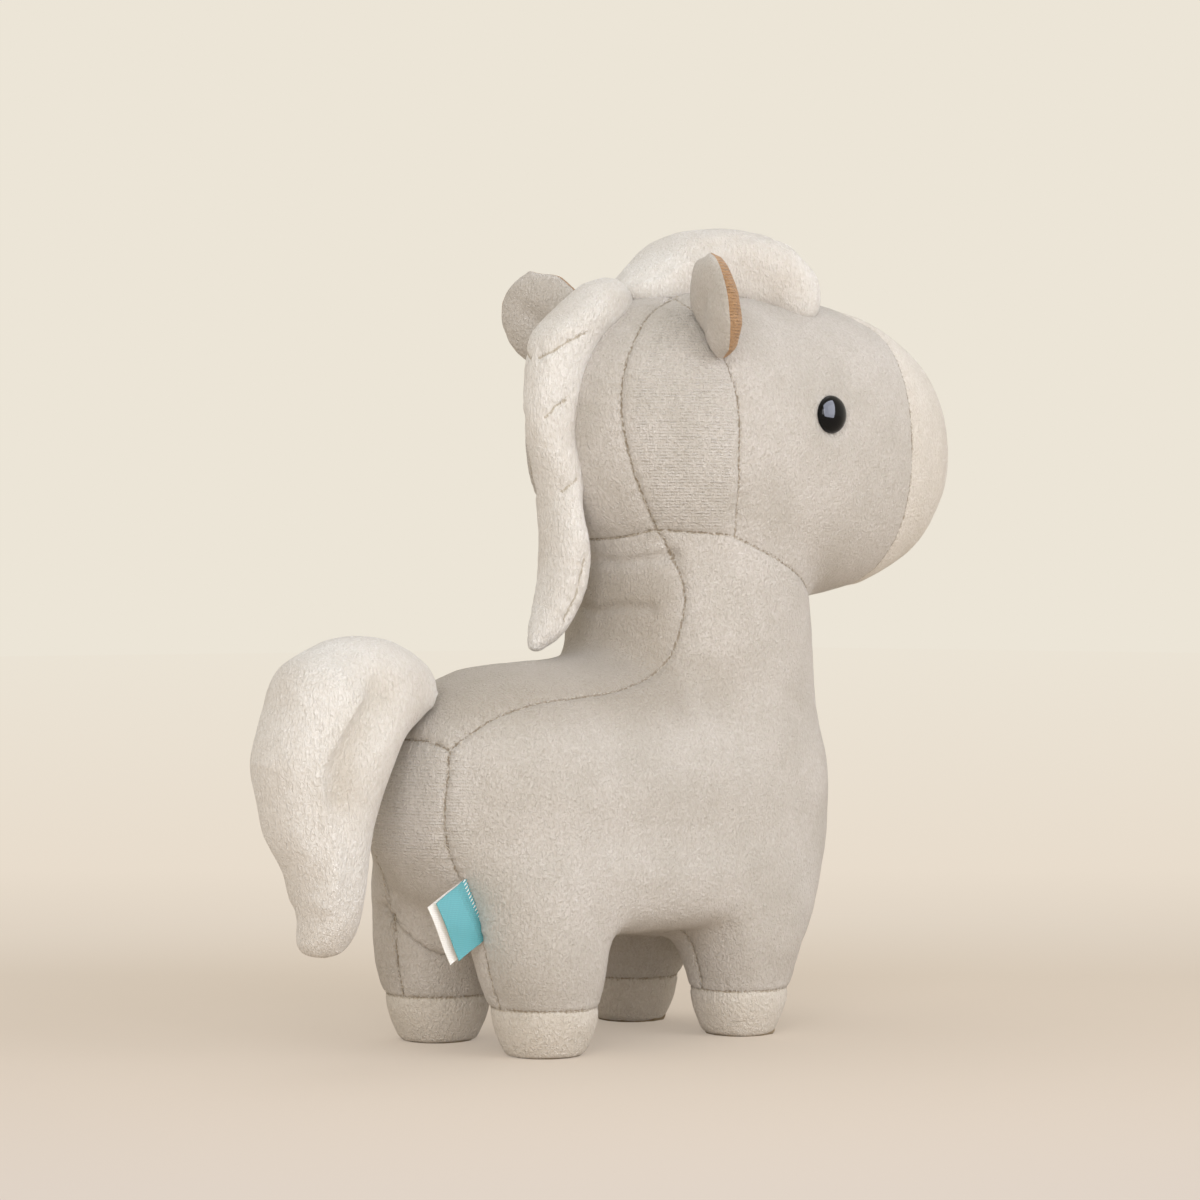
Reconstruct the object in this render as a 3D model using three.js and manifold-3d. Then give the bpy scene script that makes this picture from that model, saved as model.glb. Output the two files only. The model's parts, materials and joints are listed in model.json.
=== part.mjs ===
// A standing plush horse: sewn fabric covers over polyester stuffing, with plastic safety eyes.
// Millimetres, +Z up, +X towards the nose, +Y towards the horse's left. The horse stands on Z = 0.
import * as THREE from "three";
import { mergeVertices } from "three/addons/utils/BufferGeometryUtils.js";
import Module from "manifold-3d";

const wasm = await Module();
wasm.setup();

// Fabric and making
const wall = 2.4; // plush fabric with its pile
const clearance = 0.3; // between pieces that touch or are sewn together
const overrun = 60; // how far a cutter runs past what it cuts
const endBluntness = 2.4; // 2 closes a stuffed end as an ellipse, more makes it blunter

// Stance
const stanceLength = 113; // hind hoof centre to front hoof centre
const stanceWidth = 70; // left hoof centre to right hoof centre
const sideY = stanceWidth / 2;

// A stuffed form has a centre line and an oval section that swells and tapers along it.
// Each row of its stationShares holds forward, up, half width and half depth as shares of its
// four sizes, and then how far the centre line moves sideways, as a share of the half width.

// Torso, from the rump to the chest
const torsoLength = 229;
const torsoWidth = 112;
const torsoDepth = 122;
const rumpX = -111;
const torsoZ = 104;
const torsoShape = {
  origin: [rumpX, 0, torsoZ],
  sizes: [torsoLength, torsoDepth, torsoWidth / 2, torsoDepth / 2],
  stationShares: [
    [0.0, 0.06, 0.92, 0.84],
    [0.2, 0.02, 0.96, 0.92],
    [0.4, 0.0, 0.97, 0.97],
    [0.6, 0.01, 1.0, 1.02],
    [0.8, 0.03, 1.0, 1.04],
    [1.0, 0.05, 0.98, 1.0],
  ],
  sides: 18,
  insideSides: 12,
  steps: 10,
  insideSteps: 7,
  squareness: 2.4,
  startRoundShare: 0.26,
  endRoundShare: 0.22,
};

// Neck, rising from the torso into the head
const neckHeight = 140;
const neckWidth = 104;
const neckDepth = 106;
const neckX = 57;
const neckZ = 100;
const neckShape = {
  origin: [neckX, 0, neckZ],
  sizes: [neckDepth, neckHeight, neckWidth / 2, neckDepth / 2],
  stationShares: [
    [0.04, 0.0, 0.98, 1.16],
    [0.03, 0.3, 0.99, 1.13],
    [0.01, 0.6, 1.0, 1.05],
    [0.02, 1.0, 1.0, 1.0],
  ],
  sides: 18,
  insideSides: 12,
  steps: 5,
  insideSteps: 5,
  squareness: 2.1,
  startRoundShare: 0,
  endRoundShare: 0,
};

// Head, from its back to the nose
const headLength = 221;
const headWidth = 122;
const headDepth = 140;
const headBackX = -18;
const headZ = 259;
const headShape = {
  origin: [headBackX, 0, headZ],
  sizes: [headLength, headDepth, headWidth / 2, headDepth / 2],
  stationShares: [
    [0.0, 0.02, 0.9, 0.84],
    [0.2, 0.02, 0.98, 0.93],
    [0.4, 0.0, 1.0, 0.98],
    [0.6, -0.01, 1.0, 0.98],
    [0.8, -0.015, 0.98, 0.91],
    [1.0, -0.015, 0.92, 0.8],
  ],
  sides: 20,
  insideSides: 12,
  steps: 12,
  insideSteps: 8,
  squareness: 2.3,
  startRoundShare: 0.3,
  endRoundShare: 0.36,
};

// Face gusset: the paler panel down the forehead, round the muzzle and back under the chin
const gussetStart = 102; // back of the head to the strip's start, under the forelock
const gussetStripWidth = 32;
const muzzleSeam = 160; // back of the head to the seam across the side of the muzzle
const gussetFlare = 26; // length over which the strip widens into the muzzle
const gussetBackX = headBackX + gussetStart;
const gussetMuzzleX = headBackX + muzzleSeam;

// Legs and hooves
const legTopZ = 96;
const legTopWidth = 62;
const legSeamWidth = 45; // across the seam between leg and hoof
const hoofHeight = 20;
const hoofBottomWidth = 36;
const hoofLift = 0.6; // the sole stands this far proud of the hoof's rim
const soleThickness = 2.4;
const soleEdge = 0.8;
const legSpread = 3; // how far the top of a leg lies beyond its hoof, away from the belly
const limbSides = 12;
const limbInsideSteps = 4;
const legSteps = 3;
const hoofSteps = 2;
const limbSquareness = 2.2;

// Tail, stuffed and sewn into the top of the rump, where it swings on its seam
const tailInset = 12; // seam to the back of the rump
const tailBelowBack = 15; // seam below the top of the torso
const tailReach = 74;
const tailDrop = 85;
const tailWidth = 54;
const tailThickness = 66;
const tailRootX = rumpX + tailInset;
const tailRootZ = torsoZ + torsoDepth / 2 - tailBelowBack;
const tailFolds = [-3, 0, 50]; // degrees: pressed in, at rest and lifted
const tailShape = {
  origin: [0, 0, 0],
  sizes: [tailReach, tailDrop, tailWidth / 2, tailThickness / 2],
  stationShares: [
    [0.0, 0.0, 0.5, 0.44],
    [-0.3, 0.0, 0.86, 0.8],
    [-0.59, -0.15, 1.0, 1.0],
    [-0.67, -0.58, 0.86, 0.74],
    [-0.63, -0.94, 0.64, 0.54],
    [-0.62, -1.24, 0.42, 0.38],
  ],
  sides: 14,
  insideSides: 8,
  steps: 12,
  insideSteps: 12,
  squareness: 2.2,
  startRoundShare: 0,
  endRoundShare: 0.22,
};

// Mane down the back of the head
const maneWidth = 30;
const maneThickness = 22;
const maneTopInset = 34; // forward of the back of the head
const maneTopRise = 1; // above the top of the head
const maneFall = 100;
const maneTopX = headBackX + maneTopInset;
const maneTopZ = headZ + headDepth / 2 + maneTopRise;
const maneShape = {
  origin: [maneTopX, 0, maneTopZ],
  sizes: [maneFall, maneFall, maneWidth / 2, maneThickness / 2],
  stationShares: [
    [0.0, 0.0, 1.3, 0.8],
    [-0.2, -0.12, 1.45, 1.0],
    [-0.34, -0.36, 1.1, 1.0],
    [-0.36, -0.7, 0.86, 0.95],
    [-0.31, -0.99, 0.84, 0.85],
  ],
  sides: 12,
  insideSides: 10,
  steps: 8,
  insideSteps: 6,
  squareness: 2.2,
  startRoundShare: 0.2,
  endRoundShare: 0.14,
};

// The mane's last lock, which hangs free below the head
const lockDrop = 59;
const lockTopShares = [-0.33, -1.03]; // forward and up from the mane's top, of its fall
const lockTopX = maneTopX + lockTopShares[0] * maneFall;
const lockTopZ = maneTopZ + lockTopShares[1] * maneFall;
const lockFolds = [-2, 0, 45]; // degrees: pressed in, at rest and lifted
const lockShape = {
  origin: [0, 0, 0],
  sizes: [lockDrop, lockDrop, maneWidth / 2, maneThickness / 2],
  stationShares: [
    [0.0, 0.0, 0.84, 0.66],
    [0.04, -0.35, 0.9, 0.84],
    [-0.04, -0.7, 0.84, 0.76],
    [-0.26, -1.0, 0.6, 0.56],
  ],
  sides: 12,
  insideSides: 8,
  steps: 6,
  insideSteps: 5,
  squareness: 2.2,
  startRoundShare: 0,
  endRoundShare: 0.4,
};

// Forelock, a stuffed roll over the crown that ends above the forehead
const forelockLength = 108;
const forelockWidth = 48;
const forelockThickness = 32;
const forelockInset = 34; // forward of the back of the head
const forelockX = headBackX + forelockInset;
const forelockZ = headZ + headDepth / 2 + maneTopRise;
const forelockShape = {
  origin: [forelockX, 0, forelockZ],
  sizes: [forelockLength, forelockThickness, forelockWidth / 2, forelockThickness / 2],
  stationShares: [
    [0.0, -0.1, 0.8, 0.5],
    [0.25, 0.16, 0.98, 0.85],
    [0.5, 0.28, 1.05, 1.0],
    [0.75, 0.16, 1.05, 1.05],
    [1.0, -0.32, 0.95, 0.95],
  ],
  sides: 12,
  insideSides: 10,
  steps: 8,
  insideSteps: 6,
  squareness: 2.5,
  startRoundShare: 0.3,
  endRoundShare: 0.16,
};

// Ears, two sewn panels each, set into the seam across the head, where they fold on their base
const earHeight = 38;
const earWidth = 44;
const earThickness = 15;
const earForward = 47; // back of the head to the middle of the ear's base
const earX = headBackX + earForward;
const earRise = 45; // degrees round the head from its side to the middle of the ear's base
const earSplay = 10; // degrees that the ear faces outwards
const earSlope = 49; // degrees that its base slopes down the side of the head
const earTilt = 16; // degrees that it leans back from its base
const earInset = 1.5; // the fold lies this far inside the head's surface
const earFolds = [-20, 0, 30]; // degrees back, at rest and forwards
const earShape = {
  origin: [0, 0, 0],
  sizes: [earThickness, earHeight, earWidth / 2, earThickness / 2],
  stationShares: [
    [0.0, 0.0, 0.72, 0.5, 0.0],
    [0.02, 0.3, 0.98, 0.94, -0.03],
    [0.0, 0.62, 0.95, 1.0, -0.06],
    [0.0, 1.0, 0.74, 0.74, -0.06],
  ],
  sides: 12,
  steps: 5,
  squareness: 2.2,
  startRoundShare: 0,
  endRoundShare: 0.4,
};

// Safety eyes: a dome on a shank that passes through the cover, held by a washer inside
const eyeRadius = 8.4;
const eyeDome = 5;
const eyeForward = 104; // back of the head to the eye
const eyeRise = 11; // above the middle of the head
const eyeX = headBackX + eyeForward;
const eyeZ = headZ + eyeRise;
const eyeTurn = 2; // degrees that the eye faces forwards
const shankRadius = 2.5;
const shankLength = 13;
const washerRadius = 8;
const washerThickness = 2;
const eyeSegments = 16;
const washerSegments = 12;
const eyeArcs = 4;

// Label, a folded ribbon sewn by one edge into the rump's right seam
const labelWidth = 27; // along the sewn edge
const labelLength = 18;
const labelThickness = 1.6;
const labelInset = 27; // from the horse's right side to the seam
const labelZ = 62; // middle of the sewn edge
const labelSlope = 27; // degrees that the sewn edge leans forwards as it goes down
const labelFolds = [-30, 0, 30]; // degrees to either side
const labelShape = {
  origin: [0, 0, 0],
  sizes: [labelThickness, labelLength, labelWidth / 2, labelThickness / 2],
  stationShares: [
    [0.0, 0.0, 1.0, 1.0],
    [0.4, 0.5, 1.0, 1.0],
    [0.6, 1.0, 1.0, 1.0],
  ],
  sides: 8,
  steps: 3,
  squareness: 7,
  startRoundShare: 0,
  endRoundShare: 0,
};

// Finishes
const fabric = (colour) => new THREE.MeshStandardMaterial({ color: colour, roughness: 0.95, metalness: 0 });
const coverPlush = fabric("#d3ccc0");
const palePlush = fabric("#e6ded2");
const manePlush = fabric("#ece6dd");
const earLining = fabric("#b98f66");
const soleFabric = fabric("#c9b79f");
const ribbon = fabric("#4ba9ab");
const fibre = fabric("#f4f4f2");
const eyePlastic = new THREE.MeshStandardMaterial({ color: "#101012", roughness: 0.12, metalness: 0 });
const washerPlastic = new THREE.MeshStandardMaterial({ color: "#f0efe8", roughness: 0.5, metalness: 0 });

const across = new THREE.Vector3(0, 1, 0);
const superRound = (value, squareness) => Math.sign(value) * Math.abs(value) ** (2 / squareness);

// A blunt quarter round, from 0 at the end to 1 at round, and 1 beyond it.
function domed(share, round) {
  if (share >= round) return 1;
  return (1 - (1 - share / round) ** endBluntness) ** (1 / endBluntness);
}

// The sections of a form, offset outwards by grow. An open end runs straight on by its run.
function ringsOf(shape, grow, steps, startRun, endRun) {
  const [ox, oy, oz] = shape.origin;
  const [forward, up, wide, deep] = shape.sizes;
  const path = new THREE.CatmullRomCurve3(
    shape.stationShares.map(
      ([along, rise, , , sideways = 0]) =>
        new THREE.Vector3(ox + along * forward, oy + sideways * wide, oz + rise * up),
    ),
  );
  const halves = new THREE.SplineCurve(
    shape.stationShares.map((row) => new THREE.Vector2(row[2] * wide, row[3] * deep)),
  );
  const rings = [];
  for (let step = 0; step <= steps; step++) {
    const share = (1 - Math.cos((Math.PI * step) / steps)) / 2;
    const tangent = path.getTangent(share);
    const half = halves.getPoint(share);
    const swell = domed(share, shape.startRoundShare) * domed(1 - share, shape.endRoundShare);
    const beyond = (2 * share - 1) * (share < 1 / 2 ? !startRun : !endRun) * grow;
    rings.push({
      centre: path.getPoint(share).addScaledVector(tangent, beyond),
      tangent,
      upward: new THREE.Vector3().crossVectors(tangent, across),
      halfWidth: half.x * swell + grow,
      halfDepth: half.y * swell + grow,
      pole: swell === 0,
    });
  }
  const runOn = (ring, run) => ({ ...ring, centre: ring.centre.clone().addScaledVector(ring.tangent, run) });
  if (startRun) rings.unshift(runOn(rings[0], -startRun));
  if (endRun) rings.push(runOn(rings[rings.length - 1], endRun));
  return rings;
}

// Joins the sections into one closed skin, with a fan at each end.
function skin(rings, sides, squareness) {
  const points = [];
  const faces = [];
  const bands = rings.filter((ring) => !ring.pole);
  for (const ring of bands)
    for (let side = 0; side < sides; side++) {
      const angle = (2 * Math.PI * side) / sides;
      points.push(
        ring.centre
          .clone()
          .addScaledVector(across, ring.halfWidth * superRound(Math.cos(angle), squareness))
          .addScaledVector(ring.upward, ring.halfDepth * superRound(Math.sin(angle), squareness)),
      );
    }
  const startFan = points.push(rings[0].centre) - 1;
  const endFan = points.push(rings[rings.length - 1].centre) - 1;
  const lastBand = (bands.length - 1) * sides;
  for (let side = 0; side < sides; side++) {
    const next = (side + 1) % sides;
    faces.push(startFan, next, side);
    faces.push(endFan, lastBand + side, lastBand + next);
    for (let band = 0; band < bands.length - 1; band++) {
      const near = band * sides;
      const far = near + sides;
      faces.push(near + side, near + next, far + side);
      faces.push(near + next, far + next, far + side);
    }
  }
  return new THREE.BufferGeometry().setFromPoints(points).setIndex(faces);
}

function solidFrom(geometry) {
  const bare = geometry.clone();
  bare.deleteAttribute("normal");
  bare.deleteAttribute("uv");
  const merged = mergeVertices(bare);
  return new wasm.Manifold(
    new wasm.Mesh({
      numProp: 3,
      vertProperties: merged.attributes.position.array,
      triVerts: new Uint32Array(merged.index.array),
    }),
  );
}

const loft = (shape, grow = 0) =>
  solidFrom(skin(ringsOf(shape, grow, shape.steps, 0, 0), shape.sides, shape.squareness));

// The space inside a cover, which runs out through its open ends, and the filling in it
function inside(shape, grow, startRun, endRun) {
  const rings = ringsOf(shape, grow, shape.insideSteps, startRun, endRun);
  return solidFrom(skin(rings, shape.insideSides, shape.squareness));
}
const room = (shape, startRun = 0, endRun = 0) => inside(shape, -wall, startRun, endRun);
const filling = (shape, startRun = 0, endRun = 0) => inside(shape, -wall - clearance, startRun, endRun);

// The rounded root of a piece that folds on its seam: its first section turned about the seam.
function root(shape, grow = 0, sides = shape.sides) {
  const [, , halfWidth, halfDepth] = shape.stationShares[0];
  const [, , wide, deep] = shape.sizes;
  const profile = [];
  const half = sides / 2;
  for (let side = 0; side <= half; side++) {
    const angle = Math.PI * (side / half - 1 / 2);
    const out = superRound(Math.cos(angle), shape.squareness) * (halfDepth * deep + grow);
    const along = superRound(Math.sin(angle), shape.squareness) * (halfWidth * wide + grow);
    profile.push(new THREE.Vector2(side === 0 || side === half ? 0 : out, along));
  }
  return solidFrom(new THREE.LatheGeometry(profile, sides));
}

const largest = (solid) => solid.decompose().sort((a, b) => b.volume() - a.volume())[0];
const unionOf = (solids) => solids.reduce((all, next) => all.add(next));
const placed = (solid, matrix) => solid.transform(matrix.elements);

// The last point where a line from inside a solid leaves it.
function surfacePoint(solid, from, direction) {
  const shown = new THREE.Mesh(geometryOf(solid), new THREE.MeshBasicMaterial({ side: THREE.DoubleSide }));
  const hits = new THREE.Raycaster(from, direction).intersectObject(shown);
  return hits[hits.length - 1].point;
}

function geometryOf(solid) {
  const made = solid.getMesh();
  const geometry = new THREE.BufferGeometry();
  geometry.setAttribute("position", new THREE.BufferAttribute(made.vertProperties, 3));
  geometry.setIndex(new THREE.BufferAttribute(made.triVerts, 1));
  return geometry;
}

const horse = new THREE.Group();

function add(name, solid, material, parent = horse) {
  const mesh = new THREE.Mesh(geometryOf(solid), material);
  mesh.name = name;
  parent.add(mesh);
}

// A group whose origin is a folding seam: Y runs along the seam, Z out along the piece.
function seamGroup(matrix) {
  const group = new THREE.Group();
  group.applyMatrix4(matrix);
  horse.add(group);
  return group;
}

// The four legs, each with a hoof and a sole
function legShape(x, sign) {
  const seamShare = legSeamWidth / legTopWidth;
  const spread = (Math.sign(x) * legSpread) / legTopWidth;
  return {
    origin: [x, sign * sideY, hoofHeight],
    sizes: [legTopWidth, legTopZ - hoofHeight, legTopWidth / 2, legTopWidth / 2],
    stationShares: [
      [spread, 1, 0.9, 1.1, -sign * 0.42],
      [spread, 0.6, 1, 1.06, -sign * 0.2],
      [spread / 2, 0.3, 0.93, 0.94, -sign * 0.04],
      [0, -0.06, seamShare, seamShare, 0],
    ],
    sides: limbSides,
    insideSides: limbSides,
    steps: legSteps,
    insideSteps: limbInsideSteps,
    squareness: limbSquareness,
    startRoundShare: 0,
    endRoundShare: 0,
  };
}

function hoofShape(x, sign) {
  const bottomShare = hoofBottomWidth / legSeamWidth;
  return {
    origin: [x, sign * sideY, hoofLift],
    sizes: [hoofHeight, hoofHeight - hoofLift, legSeamWidth / 2, legSeamWidth / 2],
    stationShares: [
      [0, 1, 1, 1],
      [0, 0.55, 0.97, 0.97],
      [0, 0.22, (1 + bottomShare) / 2, (1 + bottomShare) / 2],
      [0, 0, bottomShare, bottomShare],
    ],
    sides: limbSides,
    insideSides: limbSides,
    steps: hoofSteps,
    insideSteps: limbInsideSteps,
    squareness: limbSquareness,
    startRoundShare: 0,
    endRoundShare: 0,
  };
}

function soleShape(x, sign) {
  const half = hoofBottomWidth / 2 - wall - clearance;
  const edgeShare = 1 - soleEdge / half;
  return {
    origin: [x, sign * sideY, 0],
    sizes: [half, soleThickness, half, half],
    stationShares: [
      [0, 1, 1, 1],
      [0, 0.5, 1, 1],
      [0, 0, edgeShare, edgeShare],
    ],
    sides: limbSides,
    steps: 2,
    squareness: limbSquareness,
    startRoundShare: 0,
    endRoundShare: 0,
  };
}

const limbs = [];
for (const [end, x] of [
  ["front", stanceLength / 2],
  ["hind", -stanceLength / 2],
])
  for (const [side, sign] of [
    ["left", 1],
    ["right", -1],
  ])
    limbs.push({
      name: `${end}_${side}`,
      leg: legShape(x, sign),
      hoof: hoofShape(x, sign),
      sole: soleShape(x, sign),
    });

// Forms and cutters that several pieces share
const torsoForm = loft(torsoShape);
const torsoCutter = loft(torsoShape, clearance);
const headForm = loft(headShape);
const headCutter = loft(headShape, clearance);
const neckRoom = room(neckShape);
const rumpForm = unionOf([torsoForm, ...limbs.map((limb) => loft(limb.leg))]);

// Where the folding pieces are sewn
const upright = new THREE.Matrix4();
const tailSeat = upright.clone().setPosition(tailRootX, 0, tailRootZ);
const lockSeat = upright.clone().setPosition(lockTopX, 0, lockTopZ);

function earSeat() {
  const rise = THREE.MathUtils.degToRad(earRise);
  const out = new THREE.Vector3(0, Math.cos(rise), Math.sin(rise));
  const splay = THREE.MathUtils.degToRad(earSplay);
  const slope = THREE.MathUtils.degToRad(earSlope);
  const facing = new THREE.Vector3(Math.cos(splay), Math.sin(splay), 0);
  const outward = new THREE.Vector3(-Math.sin(splay), Math.cos(splay), 0);
  const base = outward.clone().multiplyScalar(Math.cos(slope));
  base.z = -Math.sin(slope);
  const middle = new THREE.Vector3(earX, 0, headZ);
  const seat = surfacePoint(headForm, middle, out).addScaledVector(out, -earInset);
  facing.applyAxisAngle(base, -THREE.MathUtils.degToRad(earTilt));
  return new THREE.Matrix4().makeBasis(facing, base, facing.clone().cross(base)).setPosition(seat);
}

function labelSeat() {
  const slope = THREE.MathUtils.degToRad(labelSlope);
  const edge = new THREE.Vector3(Math.sin(slope), 0, -Math.cos(slope));
  const along = new THREE.Vector3(-Math.cos(slope), 0, -Math.sin(slope));
  const inner = new THREE.Vector3(-stanceLength / 2, labelInset - torsoWidth / 2, labelZ);
  const seat = surfacePoint(rumpForm, inner, new THREE.Vector3(-1, 0, 0));
  return new THREE.Matrix4().makeBasis(edge.clone().cross(along), edge, along).setPosition(seat);
}

// The same place on the horse's other side, with its axes still right-handed
function mirroredSeat(seat) {
  const flip = new THREE.Matrix4().makeScale(1, -1, 1);
  return flip.clone().multiply(seat).multiply(flip);
}

const leftEarSeat = earSeat();
const leftEarRoot = placed(root(earShape, clearance), leftEarSeat);
const earRoots = leftEarRoot.add(leftEarRoot.mirror([0, 1, 0]));
const tailRoot = placed(root(tailShape, clearance), tailSeat);
const ribbonSeat = labelSeat();

// Body covers
const torsoCover = torsoForm
  .subtract(room(torsoShape))
  .subtract(neckRoom)
  .subtract(unionOf(limbs.map((limb) => room(limb.leg, 0, overrun))))
  .subtract(tailRoot);
add("torso", largest(torsoCover), coverPlush);
add("neck", largest(loft(neckShape).subtract(torsoCutter).subtract(headCutter).subtract(neckRoom)), coverPlush);
for (const limb of limbs) {
  const leg = loft(limb.leg)
    .subtract(torsoCutter)
    .subtract(room(limb.leg, 0, overrun))
    .trimByPlane([0, 0, 1], hoofHeight + clearance);
  add(`leg_${limb.name}`, largest(leg), coverPlush);
  add(`hoof_${limb.name}`, loft(limb.hoof).subtract(room(limb.hoof, overrun, overrun)), palePlush);
  add(`sole_${limb.name}`, loft(limb.sole), soleFabric);
}

// The gusset seen from above, as wide as the head from the muzzle seam forwards
function gussetCutter(grow) {
  const strip = gussetStripWidth / 2 + grow;
  const side = headWidth / 2 + overrun;
  const back = gussetBackX - grow;
  const muzzle = gussetMuzzleX - grow;
  const front = headBackX + headLength + overrun;
  const outline = new THREE.Shape();
  outline.moveTo(back, -strip);
  outline.lineTo(muzzle - gussetFlare, -strip);
  outline.quadraticCurveTo(muzzle, -strip, muzzle, -strip - gussetFlare);
  outline.lineTo(muzzle, -side);
  outline.lineTo(front, -side);
  outline.lineTo(front, side);
  outline.lineTo(muzzle, side);
  outline.lineTo(muzzle, strip + gussetFlare);
  outline.quadraticCurveTo(muzzle, strip, muzzle - gussetFlare, strip);
  outline.lineTo(back, strip);
  const height = headDepth + overrun;
  const prism = new THREE.ExtrudeGeometry(outline, { depth: height, bevelEnabled: false, curveSegments: 5 });
  return solidFrom(prism.translate(0, 0, headZ - height / 2));
}

// Safety eyes
function eyeSeat() {
  const turn = THREE.MathUtils.degToRad(eyeTurn);
  const out = new THREE.Vector3(Math.sin(turn), Math.cos(turn), 0);
  const seat = surfacePoint(headForm, new THREE.Vector3(eyeX, 0, eyeZ), out);
  return new THREE.Matrix4()
    .makeRotationFromQuaternion(new THREE.Quaternion().setFromUnitVectors(across, out))
    .setPosition(seat);
}

// A round piece about the eye's axis, from inner to outer along it
const disc = (radius, inner, outer) =>
  solidFrom(
    new THREE.LatheGeometry(
      [
        new THREE.Vector2(0, inner),
        new THREE.Vector2(radius, inner),
        new THREE.Vector2(radius, outer),
        new THREE.Vector2(0, outer),
      ],
      washerSegments,
    ),
  );

function eyeDomeForm() {
  const profile = [new THREE.Vector2(0, -eyeDome), new THREE.Vector2(eyeRadius, -eyeDome)];
  for (let arc = 0; arc <= eyeArcs; arc++) {
    const angle = (Math.PI / 2) * (arc / eyeArcs);
    const radius = arc === eyeArcs ? 0 : eyeRadius * Math.cos(angle);
    profile.push(new THREE.Vector2(radius, eyeDome * Math.sin(angle)));
  }
  return solidFrom(new THREE.LatheGeometry(profile, eyeSegments));
}

const seatOfEye = eyeSeat();
const atEye = (solid) => placed(solid, seatOfEye);
const washerDepth = wall + clearance;
const shankHole = atEye(disc(shankRadius + clearance, -shankLength - clearance, overrun));
const eye = atEye(eyeDomeForm())
  .subtract(headCutter)
  .add(atEye(disc(shankRadius, -shankLength, eyeDome / 2)));
const washer = atEye(disc(washerRadius, -washerDepth - washerThickness, 0))
  .intersect(filling(headShape))
  .subtract(shankHole);
const washerPocket = atEye(
  disc(washerRadius + clearance, -washerDepth - washerThickness - clearance, overrun),
).add(shankHole);
const bothSides = (solid) => solid.add(solid.mirror([0, 1, 0]));

// Head covers
const headShell = headForm
  .subtract(room(headShape))
  .subtract(neckRoom)
  .subtract(earRoots)
  .subtract(bothSides(shankHole));
add("head", largest(headShell.subtract(gussetCutter(clearance / 2))), coverPlush);
add("face_gusset", largest(headShell.intersect(gussetCutter(-clearance / 2))), palePlush);
for (const [side, turned] of [
  ["left", (solid) => solid],
  ["right", (solid) => solid.mirror([0, 1, 0])],
]) {
  add(`eye_${side}`, turned(eye), eyePlastic);
  add(`eye_washer_${side}`, turned(washer), washerPlastic);
}

// One body of stuffing fills the torso, neck, head and legs through the open seams.
const stuffing = unionOf([
  filling(torsoShape),
  filling(neckShape),
  filling(headShape),
  ...limbs.map((limb) => filling(limb.leg).trimByPlane([0, 0, 1], hoofHeight + clearance)),
  ...limbs.map((limb) => filling(limb.hoof, wall).trimByPlane([0, 0, 1], soleThickness + clearance)),
])
  .subtract(tailRoot)
  .subtract(earRoots)
  .subtract(bothSides(washerPocket));
add("stuffing", largest(stuffing), fibre);

// Mane and forelock, each a stuffed cover sewn down on the head
const lockRoot = placed(root(lockShape, clearance), lockSeat);
function addSewnDown(name, shape, cutters) {
  const cover = cutters.reduce((left, cutter) => left.subtract(cutter), loft(shape).subtract(headCutter));
  const fill = cutters.reduce((left, cutter) => left.subtract(cutter), filling(shape).subtract(headCutter));
  add(name, largest(cover.subtract(room(shape))), manePlush);
  add(`${name}_stuffing`, largest(fill), fibre);
}
const maneForm = loft(maneShape, clearance);
addSewnDown("mane_upper", maneShape, [lockRoot]);
addSewnDown("forelock", forelockShape, [maneForm]);

// The shape of a neighbour, turned back through each angle of a fold about Y, so that what it
// cuts clears it through the whole fold.
function sweptBack(neighbour, seat, angles) {
  const home = placed(neighbour, seat.clone().invert());
  return unionOf(
    angles.map((degrees) =>
      placed(home, new THREE.Matrix4().makeRotationY(THREE.MathUtils.degToRad(-degrees))),
    ),
  );
}

function addFolding(name, shape, seat, neighbours) {
  const group = seamGroup(seat);
  const form = loft(shape).add(root(shape));
  const fill = filling(shape, clearance).add(root(shape, -wall - clearance, shape.insideSides));
  add(name, largest(form.subtract(neighbours).subtract(room(shape, overrun))), manePlush, group);
  add(`${name}_stuffing`, largest(fill.subtract(neighbours)), fibre, group);
}
addFolding("tail", tailShape, tailSeat, sweptBack(torsoCutter, tailSeat, tailFolds));
addFolding("mane_lock", lockShape, lockSeat, sweptBack(headCutter, lockSeat, lockFolds));

// Ears: a back panel and a lining, sewn edge to edge
const earForm = loft(earShape)
  .add(root(earShape))
  .subtract(sweptBack(headCutter, leftEarSeat, earFolds));
const earBack = earForm.trimByPlane([-1, 0, 0], clearance / 2);
const earFront = earForm.trimByPlane([1, 0, 0], clearance / 2);
for (const [side, seat, turned] of [
  ["left", leftEarSeat, (solid) => solid],
  ["right", mirroredSeat(leftEarSeat), (solid) => solid.mirror([0, 1, 0])],
]) {
  const group = seamGroup(seat);
  add(`ear_${side}`, turned(earBack), coverPlush, group);
  add(`ear_${side}_lining`, turned(earFront), earLining, group);
}

// Label
const rumpCutter = unionOf([torsoCutter, ...limbs.map((limb) => loft(limb.leg, clearance))]);
const labelForm = loft(labelShape)
  .add(root(labelShape))
  .subtract(sweptBack(rumpCutter, ribbonSeat, labelFolds));
add("label", largest(labelForm), ribbon, seamGroup(ribbonSeat));

// The frame stands at the middle of the horse's footprint.
const reach = new THREE.Box3().setFromObject(horse, true);
horse.position.set(-(reach.min.x + reach.max.x) / 2, -(reach.min.y + reach.max.y) / 2, -reach.min.z);

export default horse;
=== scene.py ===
# %% [markdown]
# A standing plush horse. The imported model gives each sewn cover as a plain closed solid, in
# metres and in its right place. This lesson turns those solids into stuffed cloth: a smooth
# skin over the filling, a cloth simulation that swells it between its seams, grooves and
# puckers along the seams, and a short-pile plush material. It starts by loading that model.

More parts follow.
